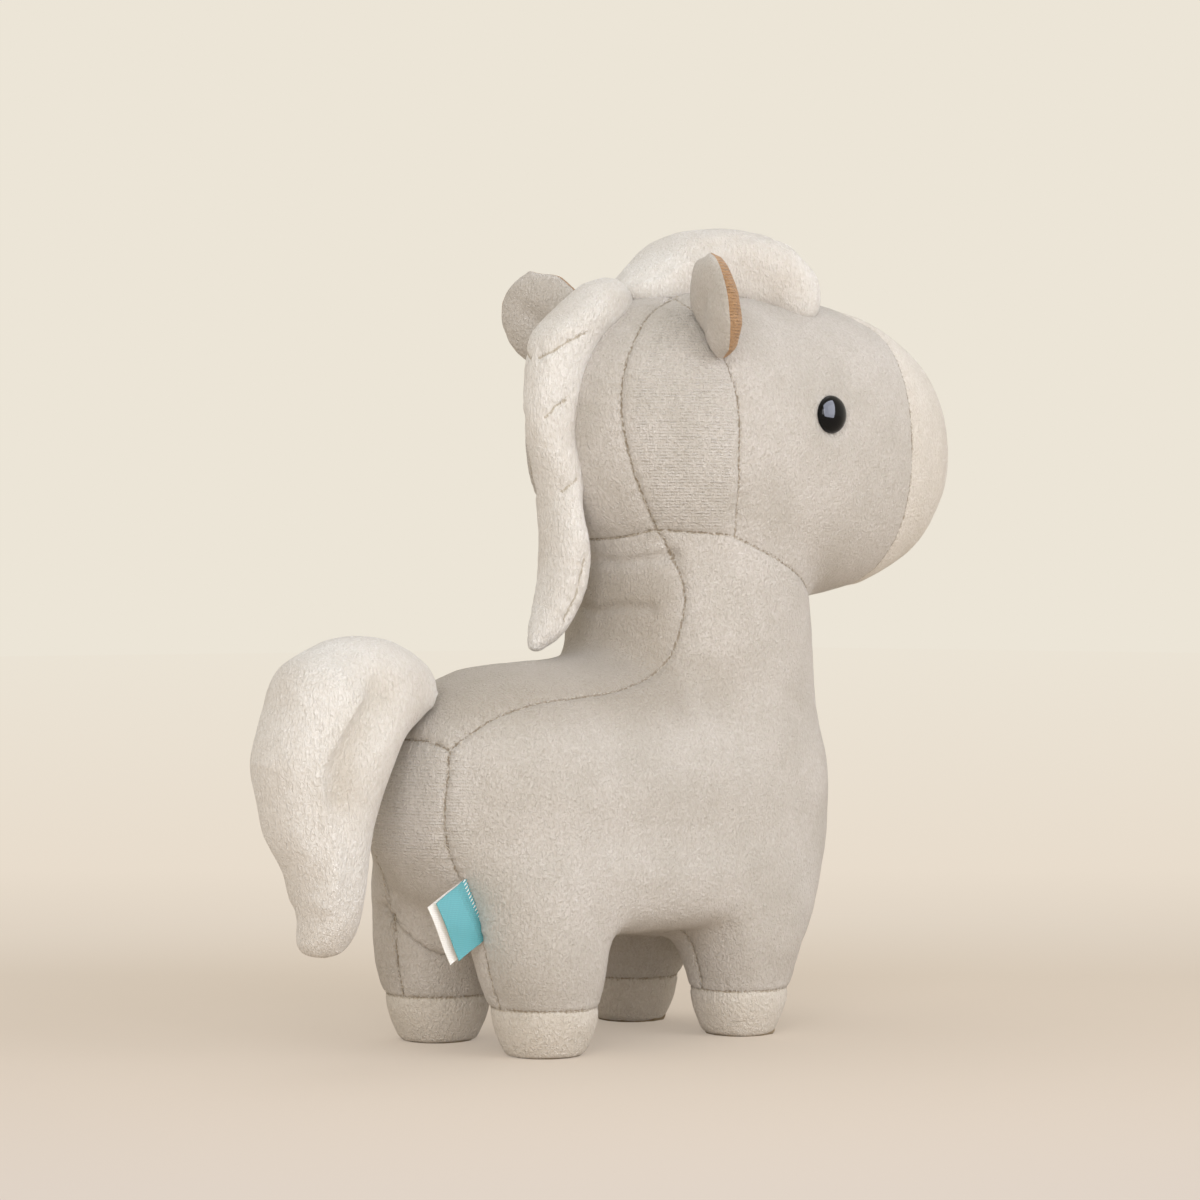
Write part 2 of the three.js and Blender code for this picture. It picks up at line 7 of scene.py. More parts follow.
# %% Load the frame
import json
import math
import bmesh
import bpy
import numpy as np
from mathutils import Matrix, Vector, noise
from mathutils.bvhtree import BVHTree
from mathutils.kdtree import KDTree


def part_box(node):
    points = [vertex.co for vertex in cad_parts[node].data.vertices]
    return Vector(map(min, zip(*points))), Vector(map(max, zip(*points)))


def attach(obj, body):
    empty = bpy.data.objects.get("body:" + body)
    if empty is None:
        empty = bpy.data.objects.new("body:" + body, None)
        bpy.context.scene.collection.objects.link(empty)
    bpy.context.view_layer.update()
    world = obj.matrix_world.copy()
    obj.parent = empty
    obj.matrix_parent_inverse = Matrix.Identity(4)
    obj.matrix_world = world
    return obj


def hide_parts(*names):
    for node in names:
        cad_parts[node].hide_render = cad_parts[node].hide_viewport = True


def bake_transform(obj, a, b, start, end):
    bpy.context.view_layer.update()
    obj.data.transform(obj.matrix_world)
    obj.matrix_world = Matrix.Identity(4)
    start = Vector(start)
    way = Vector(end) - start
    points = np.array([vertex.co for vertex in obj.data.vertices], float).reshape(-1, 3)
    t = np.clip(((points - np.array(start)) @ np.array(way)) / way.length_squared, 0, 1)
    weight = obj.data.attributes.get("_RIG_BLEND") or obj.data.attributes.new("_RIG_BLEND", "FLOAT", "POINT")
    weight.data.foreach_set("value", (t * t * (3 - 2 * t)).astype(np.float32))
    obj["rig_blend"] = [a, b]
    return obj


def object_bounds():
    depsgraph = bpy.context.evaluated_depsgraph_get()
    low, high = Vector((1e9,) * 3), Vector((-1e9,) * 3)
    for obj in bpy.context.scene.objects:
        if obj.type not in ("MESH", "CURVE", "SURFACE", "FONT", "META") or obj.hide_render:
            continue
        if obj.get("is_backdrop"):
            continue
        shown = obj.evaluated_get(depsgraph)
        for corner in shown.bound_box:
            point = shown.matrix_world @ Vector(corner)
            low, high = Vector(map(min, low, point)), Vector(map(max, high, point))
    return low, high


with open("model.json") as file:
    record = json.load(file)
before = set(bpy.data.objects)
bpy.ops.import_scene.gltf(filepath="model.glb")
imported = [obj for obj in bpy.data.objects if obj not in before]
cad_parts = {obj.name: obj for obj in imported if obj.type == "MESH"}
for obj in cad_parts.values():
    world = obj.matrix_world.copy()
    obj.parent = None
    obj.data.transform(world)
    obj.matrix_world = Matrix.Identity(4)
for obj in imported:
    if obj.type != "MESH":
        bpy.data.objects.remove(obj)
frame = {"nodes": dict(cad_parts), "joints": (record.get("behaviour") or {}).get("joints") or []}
nodes = frame["nodes"]
scene = bpy.context.scene
scene.view_settings.view_transform = "Standard"
mm = 0.001
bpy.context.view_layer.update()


def link(name, data):
    """A new object in the scene, made of a mesh, a lamp or a camera."""
    piece = bpy.data.objects.new(name, data)
    scene.collection.objects.link(piece)
    return piece


# %% [markdown]
# The camera comes first, so that every later step can be judged against the photograph. The
# lens is long and level, a little above the horse's middle, and looks at its right side from
# behind. The place was found by fitting the hooves, nose, ears and tail.

# %% Camera
camera_turn = math.radians(42)
camera_distance = 1530 * mm
camera_height = 189 * mm
camera_aside = 4.3 * mm
lens_share = 3528 / 1200  # the lens over the width of the picture
film = 36
hoof_middle = Vector((-13.35 * mm, 0, 0))
look = Vector((math.sin(camera_turn), math.cos(camera_turn), 0))
side = Vector((math.cos(camera_turn), -math.sin(camera_turn), 0))
camera_data = bpy.data.cameras.new("camera")
camera_data.sensor_width = film
camera_data.lens = film * lens_share
camera = link("camera", camera_data)
camera.location = hoof_middle + side * camera_aside - look * camera_distance
camera.location.z = camera_height
camera.rotation_euler = (math.pi / 2, 0, -camera_turn)
scene.camera = camera
print("lens", round(camera_data.lens, 1), "mm")

# %% [markdown]
# Colours are written as the sRGB hex values that a paint chart gives, and one function turns
# them to the linear numbers that a shader works in. A second small function adds a node with
# its settings and its links. The short ones after it are for the nodes that come up most, so
# that each material below reads as a list.

# %% Colours and nodes
def colour(text):
    parts = [int(text[i:i + 2], 16) / 255 for i in (1, 3, 5)]
    linear = [c / 12.92 if c <= 0.04045 else ((c + 0.055) / 1.055) ** 2.4 for c in parts]
    return (*linear, 1.0)


def add(tree, kind, inputs=None, **settings):
    made = tree.nodes.new(kind)
    for name, value in settings.items():
        setattr(made, name, value)
    for socket, value in (inputs or {}).items():
        if isinstance(value, bpy.types.NodeSocket):
            tree.links.new(value, made.inputs[socket])
        else:
            made.inputs[socket].default_value = value
    return made


def empty_material(name):
    material = bpy.data.materials.new(name)
    material.use_nodes = True
    material.node_tree.nodes.clear()
    return material, material.node_tree


def place_in(tree):
    return add(tree, "ShaderNodeTexCoord").outputs["Object"]


def kept_value(tree, name):
    """A number that was kept at the mesh's points."""
    return add(tree, "ShaderNodeAttribute", attribute_name=name).outputs["Fac"]


def maths(tree, operation, a, b):
    return add(tree, "ShaderNodeMath", {0: a, 1: b}, operation=operation).outputs[0]


def mixed(tree, share, first, second):
    """The first colour where share is 0 and the second where it is 1."""
    return add(tree, "ShaderNodeMix", {0: share, 6: first, 7: second}, data_type="RGBA").outputs[2]


def spread(tree, value, low, high, at_low=0.0, at_high=1.0, **settings):
    """at_low where the value is low, at_high where it is high, and between them in between."""
    inputs = {0: value, 1: low, 2: high, 3: at_low, 4: at_high}
    return add(tree, "ShaderNodeMapRange", inputs, **settings).outputs[0]


def lumps_of(tree, place, size, more):
    """Noise whose lumps are about this size."""
    return add(tree, "ShaderNodeTexNoise", {"Vector": place, "Scale": 1 / size, **more}).outputs[0]


def rows_of(tree, place, size, direction, more):
    """Parallel rows, one to each length of this size."""
    inputs = {"Vector": place, "Scale": wave_size / size, **more}
    return add(tree, "ShaderNodeTexWave", inputs, bands_direction=direction).outputs[1]


def surface(tree, inputs):
    """Ends a material in a surface with these inputs."""
    made = add(tree, "ShaderNodeBsdfPrincipled", inputs).outputs[0]
    add(tree, "ShaderNodeOutputMaterial", {"Surface": made})


wave_size = 0.314  # metres from row to row in a wave texture at scale 1
print("teal ribbon is", [round(c, 3) for c in colour("#3a9da0")])

# %% [markdown]
# The studio is a paper sweep. The floor takes the horse's shadow close by and turns into the
# plain paper colour further out, where only the camera sees it. The one darker band, where the
# paper bends behind the horse, is painted shade.

# %% Floor and backdrop
paper_tone = "#ece5d7"
# Painted shade at the paper's bend.
bend_shade_tones = [(0.45, "#e8dccc"), (0.63, "#d8cbbb")]
front_tone = "#ded2c6"
below_horizon = round(2 * camera_height * lens_share, 3)  # in half pictures, for floor 1 m away
shadow_start, shadow_end = 0.2, 0.6
floor_half = 9


def seen_directly(tree):
    """1 for what the camera sees, by way of gloss or glass too, and 0 for light on its way."""
    rays = add(tree, "ShaderNodeLightPath").outputs
    seen = maths(tree, "MAXIMUM", rays["Is Camera Ray"], rays["Is Glossy Ray"])
    return maths(tree, "MAXIMUM", seen, rays["Is Transmission Ray"])


def paper_sweep():
    material, tree = empty_material("paper_sweep")
    place = place_in(tree)
    depth = add(tree, "ShaderNodeVectorMath", {0: place, 1: look}, operation="DOT_PRODUCT").outputs["Value"]
    away = maths(tree, "ADD", depth, camera_distance)
    bands = add(tree, "ShaderNodeValToRGB", {0: maths(tree, "DIVIDE", below_horizon, away)})
    ramp = bands.color_ramp
    ramp.elements[0].color = colour(paper_tone)
    ramp.elements[1].color = colour(front_tone)
    for share, tone in bend_shade_tones:
        ramp.elements.new(share).color = colour(tone)
    radius = add(tree, "ShaderNodeVectorMath", {0: place}, operation="LENGTH").outputs["Value"]
    near = spread(tree, radius, shadow_start, shadow_end, 0.6, 0.0, interpolation_type="SMOOTHSTEP")
    far = maths(tree, "MULTIPLY", maths(tree, "SUBTRACT", 1.0, near), seen_directly(tree))
    paper = add(tree, "ShaderNodeBsdfDiffuse", {"Color": bands.outputs[0]}).outputs[0]
    glow = add(tree, "ShaderNodeEmission", {"Color": bands.outputs[0], "Strength": 1.0}).outputs[0]
    shade = add(tree, "ShaderNodeMixShader", {0: far, 1: paper, 2: glow}).outputs[0]
    add(tree, "ShaderNodeOutputMaterial", {"Surface": shade})
    return material


floor_mesh = bpy.data.meshes.new("floor")
floor_mesh.from_pydata([(x * floor_half, y * floor_half, 0) for x, y in ((-1, -1), (1, -1), (1, 1), (-1, 1))],
                       [], [(0, 1, 2, 3)])
floor_mesh.materials.append(paper_sweep())
floor = link("floor", floor_mesh)
floor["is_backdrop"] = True

world = bpy.data.worlds.new("studio")
world.use_nodes = True
sky = world.node_tree
sky.nodes.clear()
light = add(sky, "ShaderNodeBackground", {"Color": colour("#f5f0e7"), "Strength": 0.84}).outputs[0]
wall = add(sky, "ShaderNodeBackground", {"Color": colour(paper_tone), "Strength": 1.0}).outputs[0]
shown = add(sky, "ShaderNodeMixShader", {0: seen_directly(sky), 1: light, 2: wall}).outputs[0]
add(sky, "ShaderNodeOutputWorld", {"Surface": shown})
scene.world = world
print("floor", floor.name)

# %% [markdown]
# The photograph has soft, even light. A large lamp stands to the right of the picture, one is
# behind the camera, and a weak one is above. The window is there for the eyes: it shows in
# their gloss, and rays that the cloth scatters don't meet it.

# %% Lamps
lamp_aim = Vector((0, 0, 0.18))


def softbox(name, place, size, power, tone):
    data = bpy.data.lights.new(name, "AREA")
    data.shape = "RECTANGLE"
    data.size, data.size_y = size
    data.energy = power
    data.color = colour(tone)[:3]
    lamp = link(name, data)
    lamp.location = place
    lamp.rotation_euler = (lamp_aim - place).to_track_quat("-Z", "Y").to_euler()
    return lamp


def studio(right, towards, up):
    """A place in the studio, from the horse: right, towards the camera and up, in metres."""
    return side * right - look * towards + Vector((0, 0, up))


softbox("key", studio(1.35, 0.95, 0.8), (1.1, 1.1), 11, "#f4f7ff")
softbox("front", studio(-0.25, 1.95, 0.75), (1.0, 1.0), 15, "#fbfbff")
softbox("top", studio(-0.3, -0.6, 1.8), (1.4, 1.0), 3.5, "#f4f8ff")
window = softbox("window", studio(0.62, 0.85, 0.75), (1.6, 1.8), 150, "#e8ecff")
window.visible_diffuse = False

# %% [markdown]
# Short-pile plush is a knitted back with a dense brushed pile. It scatters light softly, so it
# has no gloss, a light sheen at grazing angles, and tones that drift where the pile lies
# another way. Up close the pile breaks into small tufts, and the deepest valleys between them
# show the darker back, darkened further as painted shade. Where a panel was stretched as it was
# stuffed, the rows of the knit show through as fine broken ribs. At a seam the pile parts and
# the darker back shows. Where a mask kept on the mesh asks for it, the cloth is darkened towards
# the back colour too: painted shade where less light falls. The tufts are really about half a
# millimetre across and the rows of the knit under one. They are drawn at 1.0 mm and 1.3 mm, so
# that they show in a picture of the whole horse.

# %% Plush
tuft_size = 1.0 * mm
row_size = 1.3 * mm
worn_size = 1.7 * mm
drift_size = 38 * mm
ragged_edge = 1.3 * mm
pile_depth = 1.4 * mm


def plush(name, tone, shade, back, knit=0.0, streak=0.7, speck=0.34):
    material, tree = empty_material(name)
    place = place_in(tree)
    lying = add(tree, "ShaderNodeMapping", {"Vector": place, "Scale": (1.0, 1.0, streak)}).outputs[0]
    tuft = lumps_of(tree, lying, tuft_size, {"Detail": 2.0, "Roughness": 0.65, "Distortion": 0.5})
    drift = lumps_of(tree, place, drift_size, {"Detail": 4.0, "Roughness": 0.6})
    row = rows_of(tree, place, row_size, "Z", {"Distortion": 1.5, "Detail": 2.0, "Detail Scale": 1.3})
    worn = spread(tree, lumps_of(tree, place, worn_size, {"Detail": 2.0}), 0.38, 0.62, at_high=0.6)
    shown = maths(tree, "MULTIPLY", maths(tree, "ADD", kept_value(tree, "knit"), knit), worn)
    rib = maths(tree, "MULTIPLY", maths(tree, "SUBTRACT", row, 0.75), shown)
    height = maths(tree, "SUBTRACT", tuft, rib)
    # Painted shade: the deepest valleys between the tufts take some of the darker back colour.
    deep = spread(tree, height, 0.3, 0.66, speck, 0.0)
    ragged = maths(tree, "MULTIPLY", tuft, ragged_edge)
    from_seam = maths(tree, "ADD", kept_value(tree, "from_seam"), ragged)
    parted = spread(tree, from_seam, 0.9 * mm, 1.5 * mm, 0.95, 0.0, interpolation_type="SMOOTHSTEP")
    cloth = mixed(tree, spread(tree, drift, 0.35, 0.65), colour(shade), colour(tone))
    # The kept mask and the tuft valleys are painted shade; at the seams the parted pile shows the real back.
    for share in (kept_value(tree, "painted_shade"), deep, parted):
        cloth = mixed(tree, share, cloth, colour(back))
    bump = add(tree, "ShaderNodeBump", {"Height": height, "Strength": 1.0, "Distance": pile_depth}).outputs[0]
    surface(tree, {
        "Base Color": cloth, "Roughness": 0.95, "Sheen Weight": 0.2, "Sheen Roughness": 0.5,
        "Sheen Tint": colour("#ffffff"), "Specular IOR Level": 0.15, "Normal": bump})
    return material


# The third colour of each plush is its back, which the painted shade also darkens towards.
cover_plush = plush("beige_short_pile_plush", "#d3cdc6", "#c6c0b7", "#948773")
pale_plush = plush("cream_short_pile_plush", "#e7e1d8", "#dcd5ca", "#a69882")
mane_plush = plush("white_soft_plush", "#e7e4df", "#dad4cc", "#b3a894", streak=0.45, speck=0.3)
ear_plush = plush("tan_short_pile_plush", "#c09a70", "#b18a60", "#86684a", knit=0.9, speck=0.55)
sole_plush = plush("oat_short_pile_plush", "#cbbba4", "#bfae96", "#93805f")
fabrics = {"cover_plush": cover_plush, "pale_plush": pale_plush, "mane_plush": mane_plush,
           "ear_lining": ear_plush}
print("plush", [m.name for m in bpy.data.materials if "plush" in m.name])

# %% [markdown]
# The real covers are flat plush panels sewn edge to edge, turned out and stuffed until they
# are tight. The model's solids hold their stuffed shape as thin shells. A voxel remesh joins
# the shells that share one filling into one even skin, which a cloth simulation needs. The
# remesh leaves small steps, so the skin is then smoothed without shrinking, and hollows where
# two forms meet are filled a little, as cloth spans them.

# %% Skins over the filling
def read(items, name, width, kind=np.float32):
    flat = np.zeros(len(items) * width, kind)
    items.foreach_get(name, flat)
    return flat.reshape(-1, width)


def corners(mesh):
    return read(mesh.vertices, "co", 3).astype(float)


def set_corners(mesh, points):
    mesh.vertices.foreach_set("co", np.ascontiguousarray(points, np.float32).ravel())
    mesh.update()


def outward(mesh):
    return read(mesh.vertices, "normal", 3).astype(float)


def opened(mesh):
    bm = bmesh.new()
    bm.from_mesh(mesh)
    return bm


def closed(bm, mesh):
    bm.to_mesh(mesh)
    bm.free()
    return mesh


def applied(piece):
    """The piece with its modifiers made into plain mesh."""
    bpy.context.view_layer.update()
    made = bpy.data.meshes.new_from_object(piece.evaluated_get(bpy.context.evaluated_depsgraph_get()))
    piece.modifiers.clear()
    old, piece.data = piece.data, made
    bpy.data.meshes.remove(old)
    return piece


def largest_part(mesh):
    """Leaves only the outermost shell of a mesh."""
    bm = opened(mesh)
    left, parts = set(bm.verts), []
    while left:
        part, front = set(), [left.pop()]
        while front:
            vertex = front.pop()
            part.add(vertex)
            for edge in vertex.link_edges:
                other = edge.other_vert(vertex)
                if other in left:
                    left.remove(other)
                    front.append(other)
        parts.append(part)
    parts.sort(key=len)
    for part in parts[:-1]:
        bmesh.ops.delete(bm, geom=list(part), context="VERTS")
    closed(bm, mesh)


def neighbours_mean(points, edges):
    count = np.bincount(edges.ravel(), minlength=len(points))[:, None]
    total = np.stack([
        np.bincount(edges[:, 0], points[edges[:, 1], i], len(points))
        + np.bincount(edges[:, 1], points[edges[:, 0], i], len(points)) for i in range(3)], 1)
    return total / np.maximum(count, 1)


def soften(piece, rounds=30, fill=0, spans=None, push=0.52):
    """Smooths without shrinking, after filling the hollows that cloth spans."""
    mesh = piece.data
    edges = read(mesh.edges, "vertices", 2, np.int32)
    for _ in range(fill):
        points, out = corners(mesh), outward(mesh)
        lift = np.einsum("ij,ij->i", neighbours_mean(points, edges) - points, out)
        share = 0.6 if spans is None else 0.6 * spans(points)
        set_corners(mesh, points + out * (share * np.maximum(lift, 0))[:, None])
    points = corners(mesh)
    for turn in range(rounds * 2):
        share = 0.5 if turn % 2 == 0 else -push
        points = points + share * (neighbours_mean(points, edges) - points)
    set_corners(mesh, points)


def close_openings(bm):
    """Closes each open edge loop with a wall that runs to its middle."""
    left = {e for e in bm.edges if len(e.link_faces) == 1}
    while left:
        loop, front = [], [left.pop()]
        while front:
            edge = front.pop()
            edge.smooth = False
            loop.append(edge)
            for other in {e for v in edge.verts for e in v.link_edges} & left:
                left.remove(other)
                front.append(other)
        ends = {v for e in loop for v in e.verts}
        middle = bm.verts.new(sum((v.co for v in ends), Vector()) / len(ends))
        for edge in loop:
            bm.faces.new((*edge.verts, middle))
    bmesh.ops.recalc_face_normals(bm, faces=bm.faces)


def solid_form(mesh, cover):
    """Adds a cover's outer surface to a mesh, as a closed form. A cover with a filling of its own
    loses the wall that faces it, and any other is wrapped."""
    bm = opened(nodes[cover].data)
    bmesh.ops.remove_doubles(bm, verts=bm.verts, dist=0.005 * mm)
    filling = f"{cover}_stuffing"
    if filling in nodes:
        tree = BVHTree.FromObject(nodes[filling], bpy.context.evaluated_depsgraph_get())
        inner = [f for f in bm.faces if tree.ray_cast(f.calc_center_median(), f.normal, 3 * mm)[0]]
        bmesh.ops.delete(bm, geom=inner, context="FACES")
        close_openings(bm)
    else:
        wrapped = bmesh.ops.convex_hull(bm, input=list(bm.verts))
        wrapping = {f for f in wrapped["geom"] if isinstance(f, bmesh.types.BMFace)}
        bmesh.ops.delete(bm, geom=[f for f in bm.faces if f not in wrapping], context="FACES")
        bmesh.ops.delete(bm, geom=[v for v in bm.verts if not v.link_faces], context="VERTS")
    bmesh.ops.recalc_face_normals(bm, faces=bm.faces)
    bm.from_mesh(mesh)
    closed(bm, mesh)


def skin(name, covers, cell, rounds=30, fill=0, spans=None, bridges=(), sunk=()):
    """One even skin round several covers of the model. Bridges are sets of points whose wrapping
    joins two of them. Sunk copies of the first cover carry it down to what it is sewn on."""
    mesh = bpy.data.meshes.new(name)
    solid_form(mesh, covers[0])
    bm = opened(mesh)
    for move in sunk:
        copy = mesh.copy()
        set_corners(copy, move(corners(copy)))
        bm.from_mesh(copy)
        bpy.data.meshes.remove(copy)
    for points in bridges:
        bmesh.ops.convex_hull(bm, input=[bm.verts.new(p) for p in points])
    closed(bm, mesh)
    for cover in covers[1:]:
        solid_form(mesh, cover)
    piece = link(name, mesh)
    cells = piece.modifiers.new("cells", "REMESH")
    cells.mode = "VOXEL"
    cells.voxel_size = cell
    applied(piece)
    largest_part(piece.data)
    soften(piece, rounds, fill, spans)
    return piece


def grow(piece, distance):
    """Moves the skin outwards, by one distance or by one for each of its points."""
    set_corners(piece.data, corners(piece.data) + outward(piece.data) * np.reshape(distance, (-1, 1)))


def subdivide(piece, levels):
    finer = piece.modifiers.new("finer", "SUBSURF")
    finer.levels = finer.render_levels = levels
    return applied(piece)


def step(values, start, end):
    """0 before start and 1 after end, smooth between them."""
    t = np.clip((values - start) / (end - start), 0, 1)
    return t * t * (3 - 2 * t)


def cloth_spans(points):
    """Cloth spans hollows everywhere but under the chin and behind the hind legs, where it folds."""
    x, y, z = points.T
    chin = step(x, 62 * mm, 80 * mm) * step(z, 165 * mm, 180 * mm)
    behind = step(-x, 84 * mm, 96 * mm) * step(-z, -80 * mm, -68 * mm)
    return 1 - 0.95 * np.maximum(chin, behind)


def part_of(node, kept):
    """The points of a node for which kept(x, y, z) holds, in millimetres."""
    points = corners(nodes[node].data)
    x, y, z = points.T / mm
    return points[kept(x, y, z)]


legs = [f"leg_{end}_{hand}" for end in ("front", "hind") for hand in ("left", "right")]
hooves = [leg.replace("leg", "hoof") for leg in legs]
soles = [leg.replace("leg", "sole") for leg in legs]
bridges = []
for hand, sign in (("left", 1), ("right", -1)):
    bridges.append(np.vstack([
        part_of("torso", lambda x, y, z: (x > 50) & (sign * y > 4) & (z > 88) & (z < 128)),
        part_of(f"leg_front_{hand}", lambda x, y, z: z < 32)]))
    bridges.append(np.vstack([
        part_of(f"leg_front_{hand}", lambda x, y, z: (z > 43) & (x < 48)),
        part_of(f"leg_hind_{hand}", lambda x, y, z: (z > 43) & (x > -76))]))
horse = skin("horse_skin", ["torso", "neck", "head", "face_gusset", *legs, *hooves, *soles], 4.8 * mm,
             rounds=24, fill=14, spans=cloth_spans, bridges=bridges)
print("horse", len(horse.data.vertices), "points")

# %% [markdown]
# A seam pulls the stuffed cloth in along a line, and the extra cloth on each side gathers in
# small puckers across it. Each seam below is a list of points in millimetres on the horse's
# right side, read off the photograph where it shows and laid out as a plush pattern usually is
# where it doesn't. A smooth curve runs through the points, and each point of the curve is
# dropped onto the skin. Seams on the right side are mirrored to the left.

# %% Seam lines
def smooth_line(points, spacing=0.8 * mm):
    """A Catmull-Rom curve through the points, at an even spacing."""
    p = np.array(points, float)
    p = np.vstack([2 * p[0] - p[1], p, 2 * p[-1] - p[-2]])
    found = []
    for a, b, c, d in zip(p, p[1:], p[2:], p[3:]):
        count = max(2, int(np.linalg.norm(c - b) / spacing))
        t = np.linspace(0, 1, count, endpoint=False)[:, None]
        found.append(0.5 * (2 * b + (c - a) * t + (2 * a - 5 * b + 4 * c - d) * t ** 2
                            + (3 * b - a - 3 * c + d) * t ** 3))
    return np.vstack([*found, p[-2:-1]])


def hinge_of(name):
    """Where a joint is and the direction of the line that it turns on."""
    joint = next(j for j in frame["joints"] if j["name"] == name)
    return Vector(joint["pos_m"]), Vector(joint["axis"]).normalized()


def tree_of(piece):
    return BVHTree.FromObject(piece, bpy.context.evaluated_depsgraph_get())


def on_skin(piece, lines):
    """Lines dropped onto the piece, each with the skin's outward direction at its points."""
    tree = tree_of(piece)
    found = []
    for line in lines:
        hits = [tree.find_nearest(Vector(p)) for p in line]
        found.append((np.array([h[0] for h in hits]), np.array([h[1] for h in hits])))
    return found


def both_sides(rows):
    return [rows, [(x, -y, z) for x, y, z in rows]]


def laid(piece, seams):
    """Seams in millimetres as smooth lines in metres on the skin."""
    return on_skin(piece, [smooth_line([[v * mm for v in p] for p in seam]) for seam in seams])


back_seam = [(-5.7, -33, 219), (6.7, -38, 195), (3.7, -37, 172), (-4.4, -33, 159), (-32.9, -37.6, 151),
             (-59.4, -38.7, 148.6), (-86.4, -36.8, 145), (-105.9, -30.7, 136), (-113.8, -26, 127.6),
             (-116.3, -27.3, 119), (-117.6, -27, 95), (-111, -26, 75.5), (-101, -29, 48), (-93.4, -31.5, 20)]
rump_seam = [(-118.9, 0, 132.3), (-117.8, -11.7, 131.8), (-115.8, -21, 130), (-113.8, -26.2, 127.6)]
belly_seam = [(-47.4, -33, 20), (-43.4, -31, 40), (-37.4, -30, 52), (-13.4, -28, 48), (14.7, -30, 50),
              (17.3, -31, 40), (20.7, -33, 20)]
chest_seam = [(65.7, -33, 20), (70.7, -30, 40), (78.7, -24, 60), (90.7, -14, 85), (98.7, -4, 110),
              (99.7, 0, 118)]
breast_seam = [(99.7, 0, 118), (98.7, 0, 150), (97.7, 0, 187)]
crown_seam = [(16.1, -19.9, 321.3), (7.2, -22.4, 317.6), (-0.8, -24, 313.1), (-7, -25.1, 307.1),
              (-22.4, -29.3, 279), (-21.6, -32.7, 252), (-11.9, -34, 229), (-5.7, -33, 219)]
cheek_seam = [(16.7, 0, 331), (16.7, -25, 325), (17.7, -50, 298), (20.9, -58, 274), (21.3, -58.2, 249),
              (27.2, -47.9, 217)]
side_seams = (back_seam, rump_seam, belly_seam, chest_seam, crown_seam, cheek_seam)
cover_seams = [breast_seam, *[line for seam in side_seams for line in both_sides(seam)]]
print("seams", len(cover_seams))

# %% [markdown]
# Three more kinds of seam lie in simple surfaces, so they are found by looking outwards from
# inside the skin: the ring round each hoof, the seam round the neck, which drops towards the
# throat, and the outline of the paler face panel, a strip between the ears that widens down
# the nose and then takes in the whole muzzle.

# %% Rings and face outline
hoof_height = 20 * mm
neck_x = [-14, -5, 25, 43, 74, 97, 125]
neck_z = [213.5, 218.5, 216.6, 210, 198, 186, 150]
strip_half = 16 * mm
strip_start = 70.65 * mm
flare_start = 102.65 * mm
muzzle_start = 128.65 * mm
flare = 26 * mm
chin_height = 262 * mm
strip_count = 70


def neck_height(x):
    return np.interp(x, np.array(neck_x) * mm, np.array(neck_z) * mm)


def strip_edge(x):
    """Half the width of the face panel at x."""
    return strip_half + flare * np.clip((x - flare_start) / (muzzle_start - flare_start), 0, 1) ** 2


def above_neck(points):
    return points[:, 2] - neck_height(points[:, 0])


def on_face(points):
    """Above zero on the face panel, below zero on the rest of the head, zero on its seam."""
    x, y, z = points.T
    strip = np.minimum(np.minimum(strip_edge(x) - np.abs(y), x - strip_start), z - chin_height)
    return np.maximum(strip, x - muzzle_start)


def in_hoof(points):
    return hoof_height - points[:, 2]


def as_line(hits):
    kept = [h for h in hits if h[0] is not None]
    return np.array([h[0] for h in kept]), np.array([h[1] for h in kept])


def hoof_rings(tree):
    rings = []
    for hoof in hooves:
        low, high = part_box(hoof)
        middle = Vector(((low.x + high.x) / 2, (low.y + high.y) / 2, hoof_height))
        rings.append(as_line([tree.ray_cast(middle, Vector((math.cos(a), math.sin(a), 0)))
                              for a in np.linspace(0, 2 * math.pi, 200)]))
    return rings


def neck_ring(tree):
    middle, found = Vector((38 * mm, 0, 204 * mm)), []
    for angle in np.linspace(0, 2 * math.pi, 420):
        rise = 0.0
        for _ in range(12):
            hit = tree.ray_cast(middle, Vector((math.cos(angle), math.sin(angle), rise)))
            reach = math.hypot(hit[0].x - middle.x, hit[0].y)
            rise += 0.7 * (float(neck_height(hit[0].x)) - hit[0].z) / reach
        found.append(hit)
    return as_line(found)


def face_outline(tree):
    low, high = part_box("face_gusset")
    middle = Vector((muzzle_start, 0, (low.z + high.z) / 2 - 8 * mm))
    down = Vector((0, 0, -1))
    found = [tree.ray_cast(Vector((x, hand * strip_edge(x), 0.5)), down)
             for hand in (-1, 1) for x in np.linspace(strip_start, muzzle_start, strip_count)]
    edge = found[strip_count - 1][0] - middle
    found += [tree.ray_cast(Vector((strip_start, y, 0.5)), down)
              for y in np.linspace(-strip_half, strip_half, 30)]
    top = math.atan2(abs(edge.y), -edge.z)
    found += [tree.ray_cast(middle, Vector((0, math.sin(a), -math.cos(a))))
              for a in np.linspace(-top, top, 260)]
    return as_line(found)


def all_seams(piece):
    tree = tree_of(piece)
    return laid(piece, cover_seams) + hoof_rings(tree) + [neck_ring(tree), face_outline(tree)]


horse_lines = all_seams(horse)
print("points on all seams", sum(len(line) for line, _ in horse_lines))

# %% [markdown]
# The puff itself is a cloth simulation. The skin starts a little inside its place, is pinned
# where the seams hold it, and takes air pressure with gravity off. It swells between the
# seams and wrinkles a little beside them, and a cap keeps every point near its start.

# %% Stuffing pressure
moments = 20
held_reach = 3.5 * mm
hoof_rise = [0.3, 1, 4, 10, 17, 26]
hoof_reach = [15.6, 16.4, 18.2, 20.9, 22.9, 23.4]


